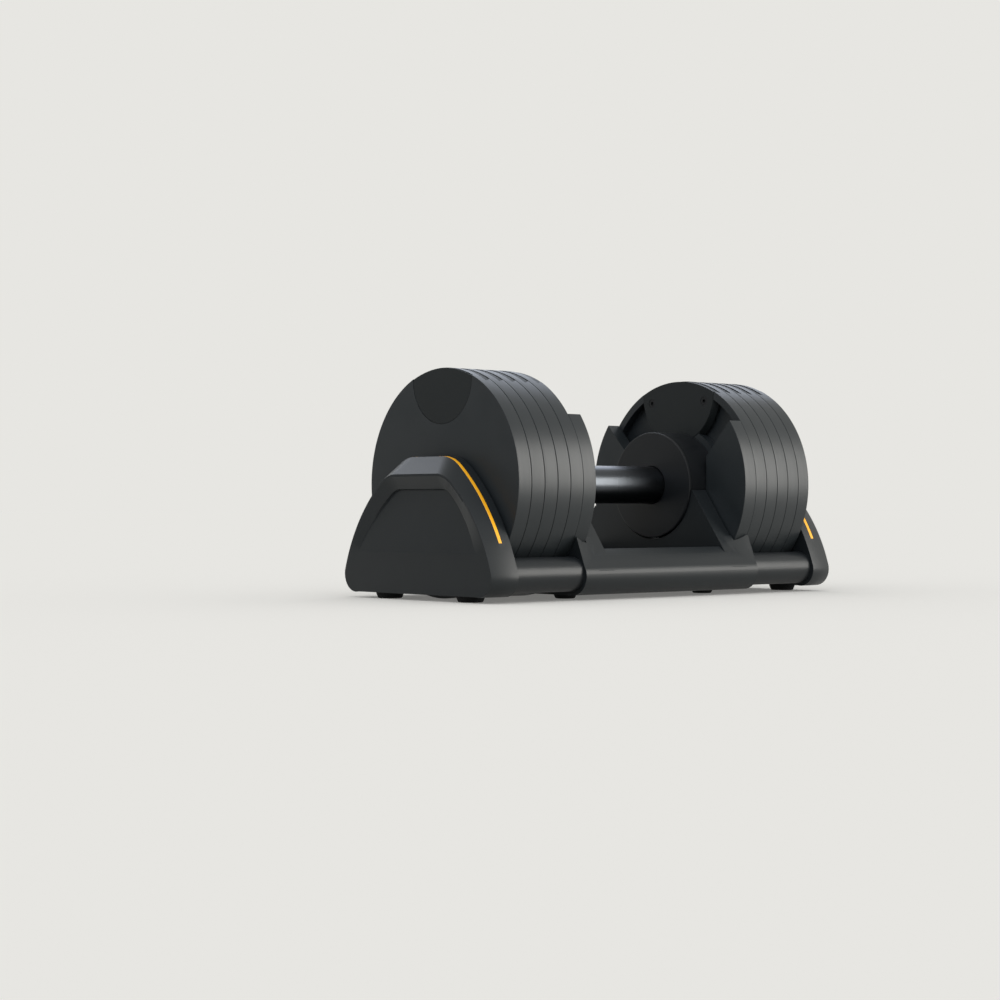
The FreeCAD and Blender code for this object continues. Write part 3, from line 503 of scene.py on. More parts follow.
def combined(thing: Thing, tool: Thing, how: str = "DIFFERENCE") -> Thing:
    """Cut, join or trim one solid with another.

    Args:
        thing: The solid that stays.
        tool: The solid that is used up.
        how: DIFFERENCE, UNION or INTERSECT.

    Returns:
        The changed solid.
    """
    applied(thing, "BOOLEAN", operation=how, object=tool, solver="EXACT")
    bpy.data.objects.remove(tool, do_unlink=True)
    return thing


def rounded(thing: Thing, width: float, segments: int = 2, degrees: float = 32.0) -> Thing:
    """Round every edge sharper than an angle."""
    return applied(thing, "BEVEL", width=width, segments=segments, limit_method="ANGLE",
                   angle_limit=math.radians(degrees), use_clamp_overlap=True, miter_outer="MITER_ARC")


def copied(thing: Thing, name: str, shift: float = 0.0) -> Thing:
    """A copy with its own mesh, moved along the handle.

    Args:
        thing: The object to copy.
        name: The copy's name.
        shift: How far along the handle it moves.

    Returns:
        The copy.
    """
    take(thing)
    bpy.ops.object.duplicate(linked=False)
    twin = bpy.context.active_object
    twin.name = twin.data.name = name
    if shift:
        with editing(twin):
            bpy.ops.transform.translate(value=(shift, 0.0, 0.0))
    return twin


def opposite(thing: Thing, name: str) -> Thing:
    """The same piece for the other side, turned half round the upright axis.

    Args:
        thing: The right-hand piece.
        name: The left-hand piece's name.

    Returns:
        The left-hand piece.
    """
    twin = copied(thing, name)
    with editing(twin):
        bpy.ops.transform.rotate(value=math.pi, orient_axis="Z", center_override=(0.0, 0.0, 0.0))
    return twin


def both_sides(name: str) -> tuple[str, str]:
    """The right and left names of a piece."""
    return f"right_{name}", f"left_{name}"


@dataclass
class Assembly:
    """What every sub-assembly can do with a finished piece."""

    paints: Paints

    def fit(self, thing: Thing, body: str, *nodes: str, smooth: float = 30.0) -> None:
        """Dress a finished piece, hang it on its body and let it stand for its CAD nodes.

        Args:
            thing: The finished piece.
            body: The CAD body that it moves with.
            nodes: The CAD nodes that it stands for.
            smooth: Edges sharper than this many degrees stay crisp.
        """
        slot = self.paints.slot_of[nodes[0]]
        thing.data.materials.clear()
        thing.data.materials.append(self.paints.by_slot[slot])
        take(thing)
        bpy.ops.object.shade_smooth_by_angle(angle=math.radians(smooth))
        applied(thing, "WEIGHTED_NORMAL", keep_sharp=True)
        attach(thing, body)
        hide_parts(*nodes)
        LOG.info("%s stands for %s on %s", thing.name, ", ".join(nodes), body)

    def fit_both(self, thing: Thing, bodies: tuple[str, str], nodes: tuple[str, str], name: str,
                 smooth: float = 30.0) -> None:
        """Fit a right-hand piece and its left-hand twin.

        Args:
            thing: The right-hand piece, which is renamed.
            bodies: The right and left bodies that the two move with.
            nodes: The right and left CAD nodes that they stand for.
            name: What the two are called between their side and their ending.
            smooth: Edges sharper than this many degrees stay crisp.
        """
        twin = opposite(thing, f"left_{name}_skin")
        thing.name = thing.data.name = f"right_{name}_skin"
        self.fit(thing, bodies[0], nodes[0], smooth=smooth)
        self.fit(twin, bodies[1], nodes[1], smooth=smooth)


# ---------------------------------------------------------------- weights

WEIGHT_BODIES = ("outer_weight", "second_weight", "third_weight", "fourth_weight", "inner_weight")


@dataclass
class WeightStack(Assembly):
    """Five round plates and a forked one on each side, with their guide tongues."""

    bevel: float = 0.5 * MM
    gap: float = 0.4 * MM
    plug_length: float = 10 * MM
    plug_share: float = 1.2
    inlay_gap: float = 0.3 * MM
    inlay_sink: float = 0.1 * MM
    inlay_bevel: float = 0.25 * MM
    tongue_bevel: float = 0.35 * MM
    seat_radius: float = 4.1 * MM
    seat_floor: float = 3.4 * MM
    tongue_up: float = 0.87
    tongue_near: float = 0.46
    tongue_far: float = 0.49
    groove_depth: float = 6.5 * MM
    tongue_height: float = 6.2 * MM
    rim_clip: float = 0.994
    bore: float = 8.35 * MM
    inset_up: float = 0.91
    inset_radius: float = 0.40
    inset_depth: float = 1.5 * MM
    pocket_rim: float = 0.93
    pocket_hub: float = 0.56
    pocket_degrees: tuple[float, float] = (6.0, 60.5)
    pocket_depth: float = 10 * MM
    neck_half: float = 19.6 * MM
    neck_top: float = 0.6
    fork_half: float = 0.51
    fork_rise: float = 0.27
    fork_tip: Point = (0.80, 0.59)
    fork_reach: float = 1.2
    fork_bevel: float = 0.8 * MM
    screw_spot: Point = (0.343, 0.797)

    def disc(self, name: str, low: float, high: float, bore: float) -> Thing:
        """A disc with rounded rims and a bore.

        Args:
            name: The piece's name.
            low: Where its inner face stands on the handle's axis.
            high: Where its outer face stands.
            bore: The bore's radius.

        Returns:
            The disc.
        """
        return turned(name, rimmed(low, high, bore, PLATE_RADIUS, self.bevel), hollow=True, segments=160)

    def groove(self, thing: Thing, low: float) -> Thing:
        """Cut the undercut groove into a disc's inner face.

        Args:
            thing: The disc.
            low: Where its inner face stands.

        Returns:
            The grooved disc.
        """
        near = PLATE_RADIUS * self.tongue_near + self.gap
        slope = PLATE_RADIUS * (self.tongue_far - self.tongue_near) / self.tongue_height
        tool = turned("groove_tool", [(low - OVERCUT, near - slope * OVERCUT),
                                      (low + self.groove_depth, near + slope * self.groove_depth)],
                      centre=(0.0, PLATE_RADIUS * self.tongue_up), segments=96)
        return combined(thing, tool)

    def outer_plate(self) -> None:
        """The outermost plate: blind bore, plain outer face with a flush round inlay."""
        low, high = (corner.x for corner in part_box("right_plate_1"))
        plate = self.disc("plate", low, high, self.bore)
        plug_radius = self.bore * self.plug_share
        plug = turned("plug", [(low + self.plug_length, plug_radius), (high, plug_radius)], segments=48)
        combined(plate, plug, "UNION")
        self.groove(plate, low)
        recess = turned("recess", [(high - self.inset_depth, PLATE_RADIUS * self.inset_radius),
                                   (high + OVERCUT, PLATE_RADIUS * self.inset_radius)],
                        centre=(0.0, PLATE_RADIUS * self.inset_up), segments=96)
        combined(plate, recess)
        self.fit_both(plate, (WEIGHT_BODIES[0],) * 2, both_sides("plate_1"), "plate_1")
        radius = PLATE_RADIUS * self.inset_radius - self.inlay_gap
        inlay = turned("inlay", [(high - self.inset_depth, radius), (high - self.inlay_sink, radius)],
                       centre=(0.0, PLATE_RADIUS * self.inset_up), segments=96)
        clip = PLATE_RADIUS - self.bevel
        combined(inlay, turned("rim", [(high - 5 * OVERCUT, clip), (high + 5 * OVERCUT, clip)]), "INTERSECT")
        rounded(inlay, self.inlay_bevel, degrees=60.0)
        self.fit_both(inlay, (WEIGHT_BODIES[0],) * 2, both_sides("face_inset"), "face_inset")

    def tongue(self) -> Thing:
        """One undercut guide tongue.

        Returns:
            The tongue, at plate 2's outer face.
        """
        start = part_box("right_tongue_2")[0].x
        cone = turned("tongue", [(start, PLATE_RADIUS * self.tongue_near),
                                 (start + self.tongue_height, PLATE_RADIUS * self.tongue_far)],
                      centre=(0.0, PLATE_RADIUS * self.tongue_up), segments=96)
        clip = PLATE_RADIUS * self.rim_clip
        rim = turned("rim", [(start - OVERCUT, clip), (start + LONG_CUT, clip)], segments=160)
        combined(cone, rim, "INTERSECT")
        self.screw_holes(cone, start)
        return rounded(cone, self.tongue_bevel, degrees=40.0)

    def screw_holes(self, thing: Thing, start: float) -> None:
        """Cut the two screw seats into a tongue.

        Args:
            thing: The tongue.
            start: Where its back stands.
        """
        profile = [(start + self.seat_floor, self.seat_radius), (start + LONG_CUT, self.seat_radius)]
        for side in (1, -1):
            spot = (side * PLATE_RADIUS * self.screw_spot[0], PLATE_RADIUS * self.screw_spot[1])
            combined(thing, turned("seat", profile, centre=spot, segments=32))

    def inner_plates(self) -> None:
        """Plates 2 to 5 with their tongues; plate 5 has the side pockets and the neck slot."""
        low2, high2 = (corner.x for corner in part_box("right_plate_2"))
        plain = self.groove(self.disc("plain", low2, high2, self.bore), low2)
        tongue = self.tongue()
        tongue_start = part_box("right_tongue_2")[0].x
        for number in (2, 3, 4, 5):
            body = WEIGHT_BODIES[number - 1]
            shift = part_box(f"right_plate_{number}")[0].x - low2
            plate = copied(plain, "plate", shift)
            if number == 5:
                self.cut_pockets(plate, low2 + shift)
            self.fit_both(plate, (body, body), both_sides(f"plate_{number}"), f"plate_{number}")
            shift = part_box(f"right_tongue_{number}")[0].x - tongue_start
            self.fit_both(copied(tongue, "tongue", shift), (body, body), both_sides(f"tongue_{number}"),
                          f"tongue_{number}")
        for used in (plain, tongue):
            bpy.data.objects.remove(used, do_unlink=True)

    def cut_pockets(self, plate: Thing, low: float) -> None:
        """The two deep side pockets and the neck slot in the innermost round plate.

        Args:
            plate: The plate.
            low: Where its inner face stands.
        """
        rim, hub = PLATE_RADIUS * self.pocket_rim, PLATE_RADIUS * self.pocket_hub
        first, last = (math.radians(degrees) for degrees in self.pocket_degrees)
        steps = 18
        for side in (1, -1):
            sweep = [first + (last - first) * i / steps for i in range(steps + 1)]
            points = [(side * rim * math.cos(a), rim * math.sin(a)) for a in sweep]
            points += [(side * hub * math.cos(a), hub * math.sin(a)) for a in sweep[::-1]]
            combined(plate, drawn("pocket", low - OVERCUT, points, self.pocket_depth))
        outline = u_outline(self.neck_half, [(self.neck_half, PLATE_RADIUS * self.neck_top)], 24)
        combined(plate, drawn("neck_slot", low - OVERCUT, outline, self.groove_depth + OVERCUT))

    def fork_plate(self) -> None:
        """The forked plate: a round slot for the drum, opening into a V."""
        low, high = (corner.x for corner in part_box("right_fork_plate"))
        plate = self.disc("fork", low, high, self.bore)
        half, rise = PLATE_RADIUS * self.fork_half, PLATE_RADIUS * self.fork_rise
        flare = (self.fork_tip[1] - self.fork_rise) / (self.fork_tip[0] - self.fork_half)
        reach = PLATE_RADIUS * self.fork_reach
        top = rise + (reach - half) * flare
        outline = u_outline(half, [(half, rise), (reach, top)], 48)
        combined(plate, drawn("fork_slot", low - OVERCUT, outline, LONG_CUT))
        rounded(plate, self.fork_bevel, degrees=50.0)
        body = WEIGHT_BODIES[4]
        self.fit_both(plate, (body, body), both_sides("fork_plate"), "fork_plate")

    def build(self) -> None:
        """Build every plate and tongue."""
        self.outer_plate()
        self.inner_plates()
        self.fork_plate()


# ---------------------------------------------------------------- handle


@dataclass
class Handle(Assembly):
    """Grip, drum caps and guide blades, with the blades' screw seats."""

    grip_bevel: float = 1.0 * MM
    grip_wall: float = 3.5 * MM
    grip_corner: float = 0.3
    cap_bevel: float = 1.3 * MM
    cap_back_bevel: float = 0.35 * MM
    cap_gap: float = 0.3 * MM
    cap_hole_bevel: float = 0.4 * MM
    neck_half: float = 19.0 * MM
    neck_top: float = 0.7
    top_seat_depth: float = 2.8 * MM
    foot_seat_depth: float = 2.6 * MM
    foot_screw: Point = (13 * MM, 5 * MM)
    blade_bevel: float = 0.4 * MM

    def grip(self) -> None:
        """The steel grip, its ends rounded into the drums."""
        low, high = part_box("grip")
        radius = (high.z - low.z) / 2
        profile = rimmed(low.x, high.x, radius - self.grip_wall, radius, self.grip_bevel, self.grip_corner)
        self.fit(turned("grip_skin", profile, hollow=True, segments=96), "grip", "grip")

    def caps(self) -> None:
        """The drum's face caps, with a bright rounded rim and a shadow line behind."""
        low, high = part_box("right_hub_cap")
        radius, edge = (high.z - low.z) / 2, self.cap_bevel
        back, mouth, eased = self.cap_back_bevel, self.cap_hole_bevel, CORNER_SHARE * edge
        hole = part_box("grip")[1].z - AXIS_HEIGHT + self.cap_gap
        profile = [
            (low.x, hole + mouth), (low.x, radius - edge), (low.x + eased, radius - eased),
            (low.x + edge, radius), (high.x - back, radius), (high.x, radius - back),
            (high.x, hole), (low.x + mouth, hole),
        ]
        cap = turned("cap", profile, hollow=True, segments=128)
        self.fit_both(cap, ("handle", "handle"), both_sides("hub_cap"), "hub_cap")

    def blades(self) -> None:
        """The undercut guide blades: a clipped cone, a neck and a round foot."""
        low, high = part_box("right_guide_blade")
        stack = WeightStack
        start, stop = low.x - OVERCUT, high.x + OVERCUT
        blade = turned("blade", [(low.x, PLATE_RADIUS * stack.tongue_near),
                                 (high.x, PLATE_RADIUS * stack.tongue_far)],
                       centre=(0.0, PLATE_RADIUS * stack.tongue_up), segments=96)
        outline = u_outline(self.neck_half, [(self.neck_half, PLATE_RADIUS * self.neck_top)], 24)
        combined(blade, drawn("neck", low.x, outline, high.x - low.x), "UNION")
        clip = PLATE_RADIUS * stack.rim_clip
        combined(blade, turned("rim", [(start, clip), (stop, clip)], segments=160), "INTERSECT")
        combined(blade, turned("bore", [(start, stack.bore), (stop, stack.bore)], segments=48))
        top_seat = [(start, stack.seat_radius), (low.x + self.top_seat_depth, stack.seat_radius)]
        foot_seat = [(high.x - self.foot_seat_depth, stack.seat_radius), (stop, stack.seat_radius)]
        for side in (1, -1):
            spot = (side * PLATE_RADIUS * stack.screw_spot[0], PLATE_RADIUS * stack.screw_spot[1])
            combined(blade, turned("seat", top_seat, centre=spot, segments=32))
            spot = (side * self.foot_screw[0], self.foot_screw[1])
            combined(blade, turned("seat", foot_seat, centre=spot, segments=32))
        rounded(blade, self.blade_bevel, degrees=40.0)
        self.fit_both(blade, ("handle", "handle"), both_sides("guide_blade"), "guide_blade")

    def build(self) -> None:
        """Build the handle's visible pieces."""
        self.grip()
        self.caps()
        self.blades()


# ---------------------------------------------------------------- cradle


@dataclass
class Cradle(Assembly):
    """Two end supports, two rails, the saddle between them and the rubber feet."""

    ridge: float = 190.0 * MM
    arch_outer: tuple[Point, ...] = (
        (0.80, -0.955), (0.955, -0.905), (0.994, -0.77), (0.856, -0.439), (0.470, 0.010), (0.381, 0.058),
        (0.282, 0.075),
    )
    arch_inner: tuple[Point, ...] = (
        (0.84, -0.955), (0.990, -0.905), (1.030, -0.77), (0.863, -0.385), (0.411, 0.149), (0.309, 0.206),
        (0.195, 0.226),
    )
    support_bevel: float = 2.3 * MM
    socket_slack: float = 0.12 * MM
    step_depth: float = 1.8 * MM
    step_width: float = 0.7 * MM
    scoop_rim: float = 2.0 * MM
    scoop_wall: float = 10.0 * MM
    scoop_depth: float = 6.0 * MM
    scoop_hinge: float = -0.60
    strip_span: Point = (186.2 * MM, 189.6 * MM)
    strip_depth: float = 1.2 * MM
    strip_proud: float = 0.1 * MM
    strip_bevel: float = 0.4 * MM
    strip_low: float = 0.25
    strip_top: float = 0.14
    tub_section: tuple[Point, ...] = (
        (0.865, -0.57), (0.935, -0.625), (1.008, -0.7242), (1.0235, -0.753), (1.030, -0.785), (1.003, -0.885),
        (0.880, -0.966),
    )
    horn: tuple[Point, ...] = ((0.86, -0.90), (1.025, -0.753), (0.535, -0.075), (0.515, -0.05))
    rear_horn: tuple[Point, ...] = (
        (0.86, -0.90), (1.025, -0.753), (0.925, -0.45), (0.79, -0.20), (0.535, -0.075), (0.515, -0.05),
    )
    hollow: tuple[Point, ...] = ((0.80, -0.91), (0.85, -0.60), (0.85, -0.40))
    wing_sections: tuple[Point, ...] = (
        (78.0, 0.820), (86.0, 0.829), (93.0, 0.850), (99.0, 0.879), (103.6, 0.905),
    )
    wing_foot: tuple[Point, ...] = ((1.020, -0.756), (0.88, -0.80))
    wing_root: float = 0.70
    wing_top: float = -0.47
    wall_span: Point = (71.4 * MM, 88.6 * MM)
    seat_radius: float = 48.4 * MM
    rail_y: float = 80.5 * MM
    rail_up: float = -74.35 * MM
    rail_radius: float = 14.25 * MM
    rail_wall: float = 2.0 * MM
    jacket_wall: float = 1.2 * MM
    plate_room: float = 0.8 * MM
    wing_room: float = 0.4 * MM
    saddle_bevel: float = 1.1 * MM
    foot_radii: tuple[tuple[str, float], ...] = (("support_feet", 12 * MM), ("saddle_feet", 10 * MM))
    foot_taper: float = 2.0 * MM
    foot_bevel: float = 0.8 * MM

    def arch(self, corners: Sequence[Point]) -> list[Point]:
        """The arched outline: flat foot, round heels, bowed sides, rounded shoulders, flat top.

        Args:
            corners: Its right-hand points from foot to top, as shares of the plate radius.

        Returns:
            The whole outline in metres.
        """
        foot, heel, low, side, high, brow, top = [(y * PLATE_RADIUS, z * PLATE_RADIUS) for y, z in corners]
        right = arc(foot, heel, low, 10) + arc(low, side, high, 20) + arc(high, brow, top, 8) + [top]
        return right + [(-y, z) for y, z in right[::-1]]

    def end_supports(self) -> None:
        """An arched end support: a straight inner part, a drafted outer part and a scooped face."""
        low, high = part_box("right_end_support")
        piece = drawn("support", low.x, self.arch(self.arch_inner), self.ridge - low.x)
        nose = drawn("nose", high.x, self.arch(self.arch_outer))
        with editing(piece, "FACE"):
            pick_faces(piece, lambda middle, normal: middle.x > self.ridge - 0.1 * MM)
            bpy.ops.mesh.delete(type="ONLY_FACE")
        take(piece)
        nose.select_set(True)
        bpy.ops.object.join()
        with editing(piece, "EDGE"):
            bpy.ops.mesh.select_all(action="DESELECT")
            bpy.ops.mesh.select_non_manifold()
            bpy.ops.mesh.bridge_edge_loops()
            outward()
        self.scoop(piece, high.x)
        rounded(piece, self.support_bevel, segments=4, degrees=22.0)
        self.sink(piece, high.x, self.step_depth, self.step_width)
        socket = [(low.x - OVERCUT, self.rail_radius), (low.x + LONG_CUT, self.rail_radius)]
        for side in (1, -1):
            spot = (side * self.rail_y, self.rail_up)
            combined(piece, turned("socket", socket, centre=spot, segments=96))
            combined(piece, self.strip(side, self.socket_slack))
        self.fit_both(piece, ("cradle", "cradle"), both_sides("end_support"), "end_support", smooth=40.0)

    def scoop(self, piece: Thing, face: float) -> None:
        """Frame the outer face with a rim and a sloping wall, and sink what is inside them.

        Args:
            piece: The end support.
            face: Where its outer face stands.
        """
        hinge = (face, 0.0, AXIS_HEIGHT + PLATE_RADIUS * self.scoop_hinge)
        with editing(piece, "FACE"):
            pick_faces(piece, lambda middle, normal: normal.x > 0.99 and middle.x > face - 0.01 * MM)
            bpy.ops.mesh.inset(thickness=self.scoop_rim, depth=0.0)
            bpy.ops.mesh.inset(thickness=self.scoop_wall, depth=0.0)
            bpy.ops.mesh.bisect(plane_co=hinge, plane_no=(0.0, 0.0, 1.0))
        self.sink(piece, face, self.scoop_depth)

    def sink(self, piece: Thing, face: float, depth: float, width: float = 0.0) -> None:
        """Tilt the largest facet above the hinge line inwards.

        Args:
            piece: The end support.
            face: Where its outer face stands.
            depth: How far the facet's top goes in; its foot stays where it is.
            width: The width of the step left round it, or nought for none.
        """
        hinge = AXIS_HEIGHT + PLATE_RADIUS * self.scoop_hinge
        reach = 2 * self.scoop_depth
        with editing(piece, "FACE"):
            mesh = bmesh.from_edit_mesh(piece.data)
            upper = [facet for facet in mesh.faces if facet.normal.x > 0.9
                     and facet.calc_center_median().x > face - reach and facet.calc_center_median().z > hinge]
            area = max(facet.calc_area() for facet in upper)
            bpy.ops.mesh.select_all(action="DESELECT")
            for facet in upper:
                facet.select_set(facet.calc_area() > area * 0.999)
            bmesh.update_edit_mesh(piece.data)
            if width:
                bpy.ops.mesh.inset(thickness=width, depth=0.0)
                mesh = bmesh.from_edit_mesh(piece.data)
            # A shear, set point by point, because the shear operator needs a window.
            sunk = [vert for vert in mesh.verts if vert.select]
            height = max(vert.co.z for vert in sunk) - hinge
            for vert in sunk:
                vert.co.x -= depth * max(vert.co.z - hinge, 0.0) / height
            bmesh.update_edit_mesh(piece.data)

    def strip(self, side: int, slack: float) -> Thing:
        """An inlay strip along the bowed side, or with some slack the groove it sits in.

        Args:
            side: 1 for the rear flank, -1 for the front one.
            slack: How much wider and deeper than the inlay it is all round.

        Returns:
            The strip.
        """
        low, mid, high, brow, top = self.scaled(self.arch_inner[2:7], side)
        bow = arc(low, mid, high, 100)
        path = bow[int(self.strip_low * 100)::4] + arc(high, brow, top, 8)
        path.append((side * PLATE_RADIUS * self.strip_top, top[1]))
        outer, inner = [], []
        for index, (y, z) in enumerate(path):
            before, after = path[max(index - 1, 0)], path[min(index + 1, len(path) - 1)]
            run = Vector((after[0] - before[0], after[1] - before[1])).normalized()
            out = Vector((run.y, -run.x)) * side
            proud, deep = self.strip_proud + slack, self.strip_depth + slack
            outer.append((y + out.x * proud, z + out.y * proud))
            inner.append((y - out.x * deep, z - out.y * deep))
        start, stop = self.strip_span
        return drawn("strip", start - slack, outer + inner[::-1], stop - start + 2 * slack)

    def strips(self) -> None:
        """The bright inlays of both end supports."""
        pair = self.strip(1, 0.0)
        other = self.strip(-1, 0.0)
        take(pair)
        other.select_set(True)
        bpy.ops.object.join()
        rounded(pair, self.strip_bevel, segments=3, degrees=50.0)
        self.fit_both(pair, ("cradle", "cradle"), both_sides("accent_trim"), "accent_trim")

    def rails(self) -> None:
        """The two long tubes."""
        low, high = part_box("front_rail")
        outer, bore = self.rail_radius, self.rail_radius - self.rail_wall
        profile = [(low.x, bore), (low.x, outer), (high.x, outer), (high.x, bore)]
        tube = turned("rear_rail_skin", profile, centre=(self.rail_y, self.rail_up), hollow=True, segments=96)
        twin = opposite(tube, "front_rail_skin")
        self.fit(tube, "cradle", "rear_rail")
        self.fit(twin, "cradle", "front_rail")

    def scaled(self, points: Sequence[Point], side: int = 1) -> list[Point]:
        """Outline points given as shares of the plate radius, mirrored when side is -1."""
        return [(side * y * PLATE_RADIUS, z * PLATE_RADIUS) for y, z in points]

    def tub(self, half: float) -> Thing:
        """The saddle's long body: slanted sheet, rounded crest, bulged lower edge, flat base.

        Args:
            half: Half its length.

        Returns:
            The solid bar.
        """
        lip, edge, shoulder, crest, brim, bulge, base = self.scaled(self.tub_section)
        right = [lip, edge] + arc(shoulder, crest, brim, 6) + arc(brim, bulge, base, 10) + [base]
        return drawn("saddle", -half, right + [(-y, z) for y, z in right[::-1]], 2 * half)

    def wing(self, end: int, side: int) -> Thing:
        """The flare from a wall out to the end of the block, eased section by section.

        Args:
            end: 1 for the right-hand end of the block, -1 for the left-hand one.
            side: 1 for its rear, -1 for its front.

        Returns:
            The flare, with its root inside the wall.
        """
        sections = [(x * MM, brow) for x, brow in self.wing_sections]
        along, brow = sections[0]
        outline = [(self.wing_root, self.wing_top), (brow, self.wing_top), *self.wing_foot]
        piece = drawn("wing", end * along, self.scaled(outline, side))
        with editing(piece):
            for (x0, y0), (x1, y1) in zip(sections, sections[1:]):
                step = (end * (x1 - x0), 0.0, 0.0)
                bpy.ops.mesh.extrude_region_move(TRANSFORM_OT_translate={"value": step})
                mesh = bmesh.from_edit_mesh(piece.data)
                leading = [vert for vert in mesh.verts if vert.select]
                corner = max(leading, key=lambda vert: vert.co.z * 2 + side * vert.co.y)
                bpy.ops.mesh.select_all(action="DESELECT")
                corner.select_set(True)
                bpy.ops.transform.translate(value=(0.0, side * (y1 - y0) * PLATE_RADIUS, 0.0))
                for vert in leading:
                    vert.select_set(True)
                mesh.select_flush(True)
            outward()
        return piece

    def saddle(self) -> None:
        """The centre block: a tub round the rails with two upright walls that hold the drums."""
        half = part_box("saddle_block")[1].x
        inner, outer = self.wall_span
        block = self.tub(half)
        for end in (1, -1):
            for side in (1, -1):
                combined(block, self.wing(end, side), "UNION")
            clear = PLATE_RADIUS + self.plate_room
            start = end * (outer + self.wing_room)
            profile = [(start, clear), (start + end * 2 * LONG_CUT, clear)]
            combined(block, turned("clear", profile, segments=160))
            horn = self.scaled(self.rear_horn) + self.scaled(self.horn, -1)[::-1]
            combined(block, drawn("wall", end * inner, horn, end * (outer - inner)), "UNION")
        hollow = self.scaled(self.hollow) + self.scaled(self.hollow, -1)[::-1]
        combined(block, drawn("hollow", -inner, hollow, 2 * inner))
        spots = [(side * self.rail_y, self.rail_up) for side in (1, -1)]
        jacket, bore = self.rail_radius + self.jacket_wall, self.rail_radius
        for spot in spots:
            profile = [(-inner - OVERCUT, jacket), (inner + OVERCUT, jacket)]
            combined(block, turned("jacket", profile, centre=spot, segments=96), "UNION")
        combined(block, turned("seat", [(-half, self.seat_radius), (half, self.seat_radius)], segments=160))
        rounded(block, self.saddle_bevel, segments=3, degrees=21.0)
        for spot in spots:
            profile = [(-half - OVERCUT, bore), (half + OVERCUT, bore)]
            combined(block, turned("bore", profile, centre=spot, segments=96))
        self.fit(block, "cradle", "saddle_block", smooth=35.0)

    def feet(self) -> None:
        """Rubber feet, wider at the top, with eased soles."""
        for node, radius in self.foot_radii:
            low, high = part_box(node)
            far_x, far_y = high.x - radius, high.y - radius
            pads = []
            for side_x in (1, -1):
                for side_y in (1, -1):
                    clear_selection()
                    bpy.ops.mesh.primitive_cone_add(
                        vertices=48, radius1=radius - self.foot_taper, radius2=radius, depth=high.z - low.z,
                        location=(side_x * far_x, side_y * far_y, (high.z + low.z) / 2))
                    pads.append(started(f"{node}_skin"))
            take(pads[0])
            for pad in pads[1:]:
                pad.select_set(True)
            bpy.ops.object.join()
            rounded(pads[0], self.foot_bevel, segments=3, degrees=40.0)
            self.fit(pads[0], "cradle", node)

    def build(self) -> None:
        """Build the cradle."""
        self.end_supports()
        self.strips()
        self.rails()
        self.saddle()
        self.feet()


# ---------------------------------------------------------------- studio


@dataclass(frozen=True)
class Softbox:
    """One rectangular soft light."""

    name: str
    place: tuple[float, float, float]
    size: Point
    power: float
    colour: str


SOFTBOXES = (
    # Right front, tall: the wide even band on the plate rims and along the saddle's crest.
    Softbox("rim_softbox", (1.15, -1.35, 0.40), (0.9, 1.3), 30.0, "FFFDF8"),
    # Behind on the right, high: the cool sheen on the tops of the plates.
    Softbox("top_softbox", (1.0, 0.9, 1.1), (1.2, 0.9), 5.5, "DCE8FF"),
    # High in front: the drafted faces of the end supports.
    Softbox("front_softbox", (-0.7, -1.25, 1.3), (1.1, 0.7), 9.0, "E8F0FF"),
    # High on the left: the upper part of the drums and the supports' front corners.
    Softbox("left_softbox", (-1.1, -0.2, 0.95), (0.6, 0.6), 5.0, "E8F0FF"),
    # High behind: the end supports' top bevels.
    Softbox("back_softbox", (-0.1, 1.5, 1.3), (1.2, 0.6), 6.0, "E8F0FF"),
)


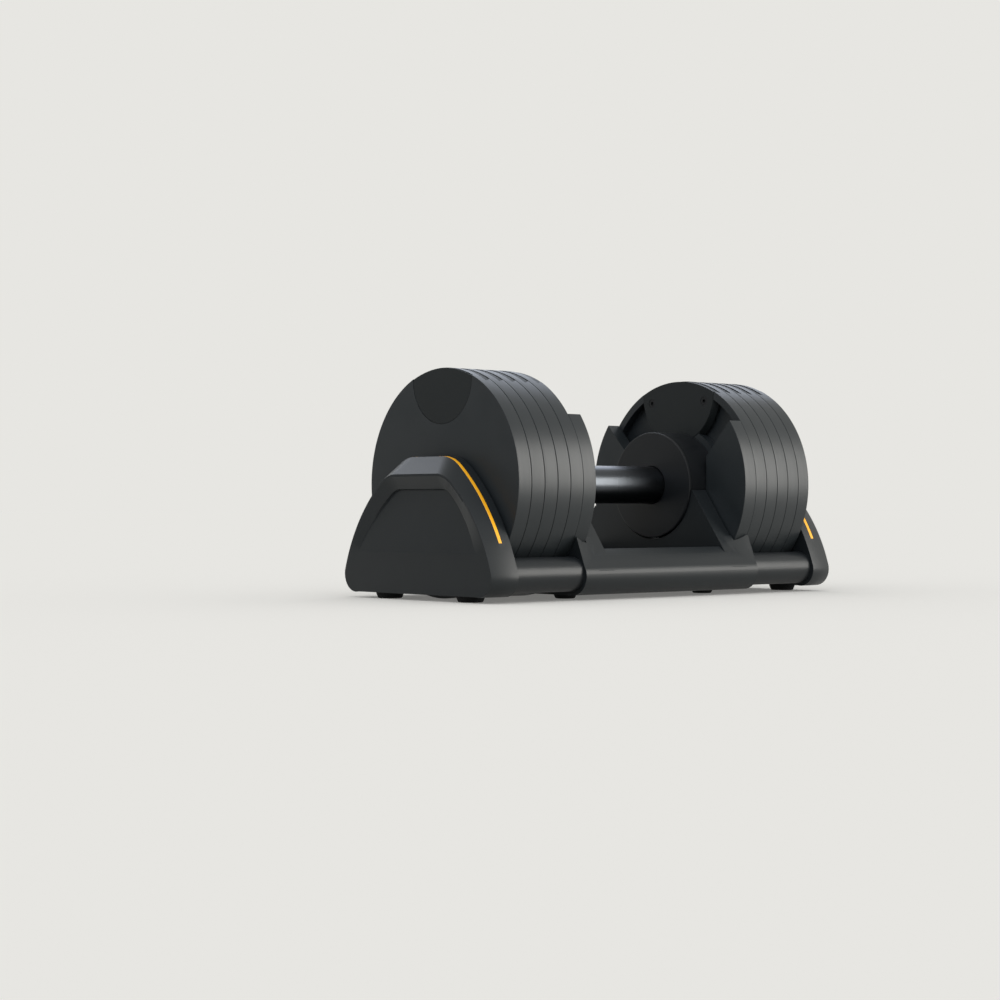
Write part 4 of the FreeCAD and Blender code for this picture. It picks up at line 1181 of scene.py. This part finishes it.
@dataclass
class Studio:
    """Pale floor and surround, soft lights, a black flag and the camera."""

    camera_place: tuple[float, float, float] = (-1.2519, -1.3020, 0.0761)
    yaw_degrees: float = 41.22
    tilt_degrees: float = 0.195
    lens_mm: float = 73.93
    backdrop: str = "E7E6E2"
    floor_paint: float = 0.80
    flag_paint: float = 0.01
    flag_place: tuple[float, float, float] = (-1.15, 0.35, 0.20)
    flag_size: tuple[float, float, float] = (0.02, 2.7, 0.40)

    def add_camera(self) -> None:
        """Place the camera at the viewing angle of the object."""
        data = bpy.data.cameras.new("camera")
        data.lens = self.lens_mm
        data.sensor_width = 36.0
        data.clip_end = 50.0
        camera = bpy.data.objects.new("camera", data)
        bpy.context.scene.collection.objects.link(camera)
        camera.location = self.camera_place
        camera.rotation_euler = Euler(
            (math.radians(90 + self.tilt_degrees), 0.0, math.radians(-self.yaw_degrees)), "XYZ"
        )
        bpy.context.scene.camera = camera

    def add_light(self, lamp: Softbox, spared: bpy.types.Collection) -> None:
        """Add one rectangular soft light that leaves the floor alone.

        Args:
            lamp: Its size, place, colour and power.
            spared: The collection of things that it doesn't light.
        """
        data = bpy.data.lights.new(lamp.name, "AREA")
        data.shape = "RECTANGLE"
        data.size, data.size_y = lamp.size
        data.energy = lamp.power
        data.color = linear(lamp.colour)[:3]
        light = bpy.data.objects.new(lamp.name, data)
        light.location = lamp.place
        target = Vector((0.0, 0.0, AXIS_HEIGHT))
        light.rotation_euler = (target - Vector(lamp.place)).to_track_quat("-Z", "Y").to_euler()
        bpy.context.scene.collection.objects.link(light)
        light.light_linking.receiver_collection = spared
        for linked in spared.collection_objects:
            linked.light_linking.link_state = "EXCLUDE"

    def add_floor(self) -> Thing:
        """A wide pale floor, partly self-lit so that it melts into the backdrop.

        Returns:
            The floor.
        """
        clear_selection()
        bpy.ops.mesh.primitive_plane_add(size=60.0, location=(0, 0, 0))
        floor = bpy.context.active_object
        floor.name = "floor"
        material = bpy.data.materials.new("pale_floor")
        material.use_nodes = True
        tree = material.node_tree
        shader = tree.nodes["Principled BSDF"]
        shader.inputs["Roughness"].default_value = 1.0
        shader.inputs["Specular IOR Level"].default_value = 0.0
        shader.inputs["Base Color"].default_value = (self.floor_paint,) * 3 + (1.0,)
        shader.inputs["Emission Color"].default_value = linear(self.backdrop)
        shader.inputs["Emission Strength"].default_value = 1.0 - self.floor_paint
        floor.data.materials.append(material)
        return floor

    def add_flag(self) -> None:
        """A black card off to the left, mirrored in the satin of the flat faces."""
        clear_selection()
        bpy.ops.mesh.primitive_cube_add(size=1.0, location=self.flag_place, scale=self.flag_size)
        card = started("flag")
        material = bpy.data.materials.new("black_card")
        material.use_nodes = True
        shader = material.node_tree.nodes["Principled BSDF"]
        shader.inputs["Base Color"].default_value = (self.flag_paint,) * 3 + (1.0,)
        shader.inputs["Roughness"].default_value = 0.9
        card.data.materials.append(material)
        card.visible_camera = False
        card.visible_diffuse = False

    def add_world(self) -> None:
        """An even pale surround."""
        world = bpy.data.worlds.new("surround")
        bpy.context.scene.world = world
        world.use_nodes = True
        back = world.node_tree.nodes["Background"]
        back.inputs["Color"].default_value = linear(self.backdrop)
        back.inputs["Strength"].default_value = 1.0

    def build(self) -> None:
        """Set up everything that isn't the object."""
        bpy.context.scene.view_settings.view_transform = "Standard"
        self.add_world()
        floor = self.add_floor()
        self.add_flag()
        self.add_camera()
        spared = bpy.data.collections.new("spared_by_the_lamps")
        spared.objects.link(floor)
        for lamp in SOFTBOXES:
            self.add_light(lamp, spared)


def main() -> None:
    """Build the object and its surroundings."""
    logging.basicConfig(level=logging.INFO, format="%(name)s: %(message)s")
    Studio().build()
    paints = Paints()
    paints.dress_nodes()
    for part in (WeightStack, Handle, Cradle):
        part(paints).build()


if __name__ == "__main__":
    main()
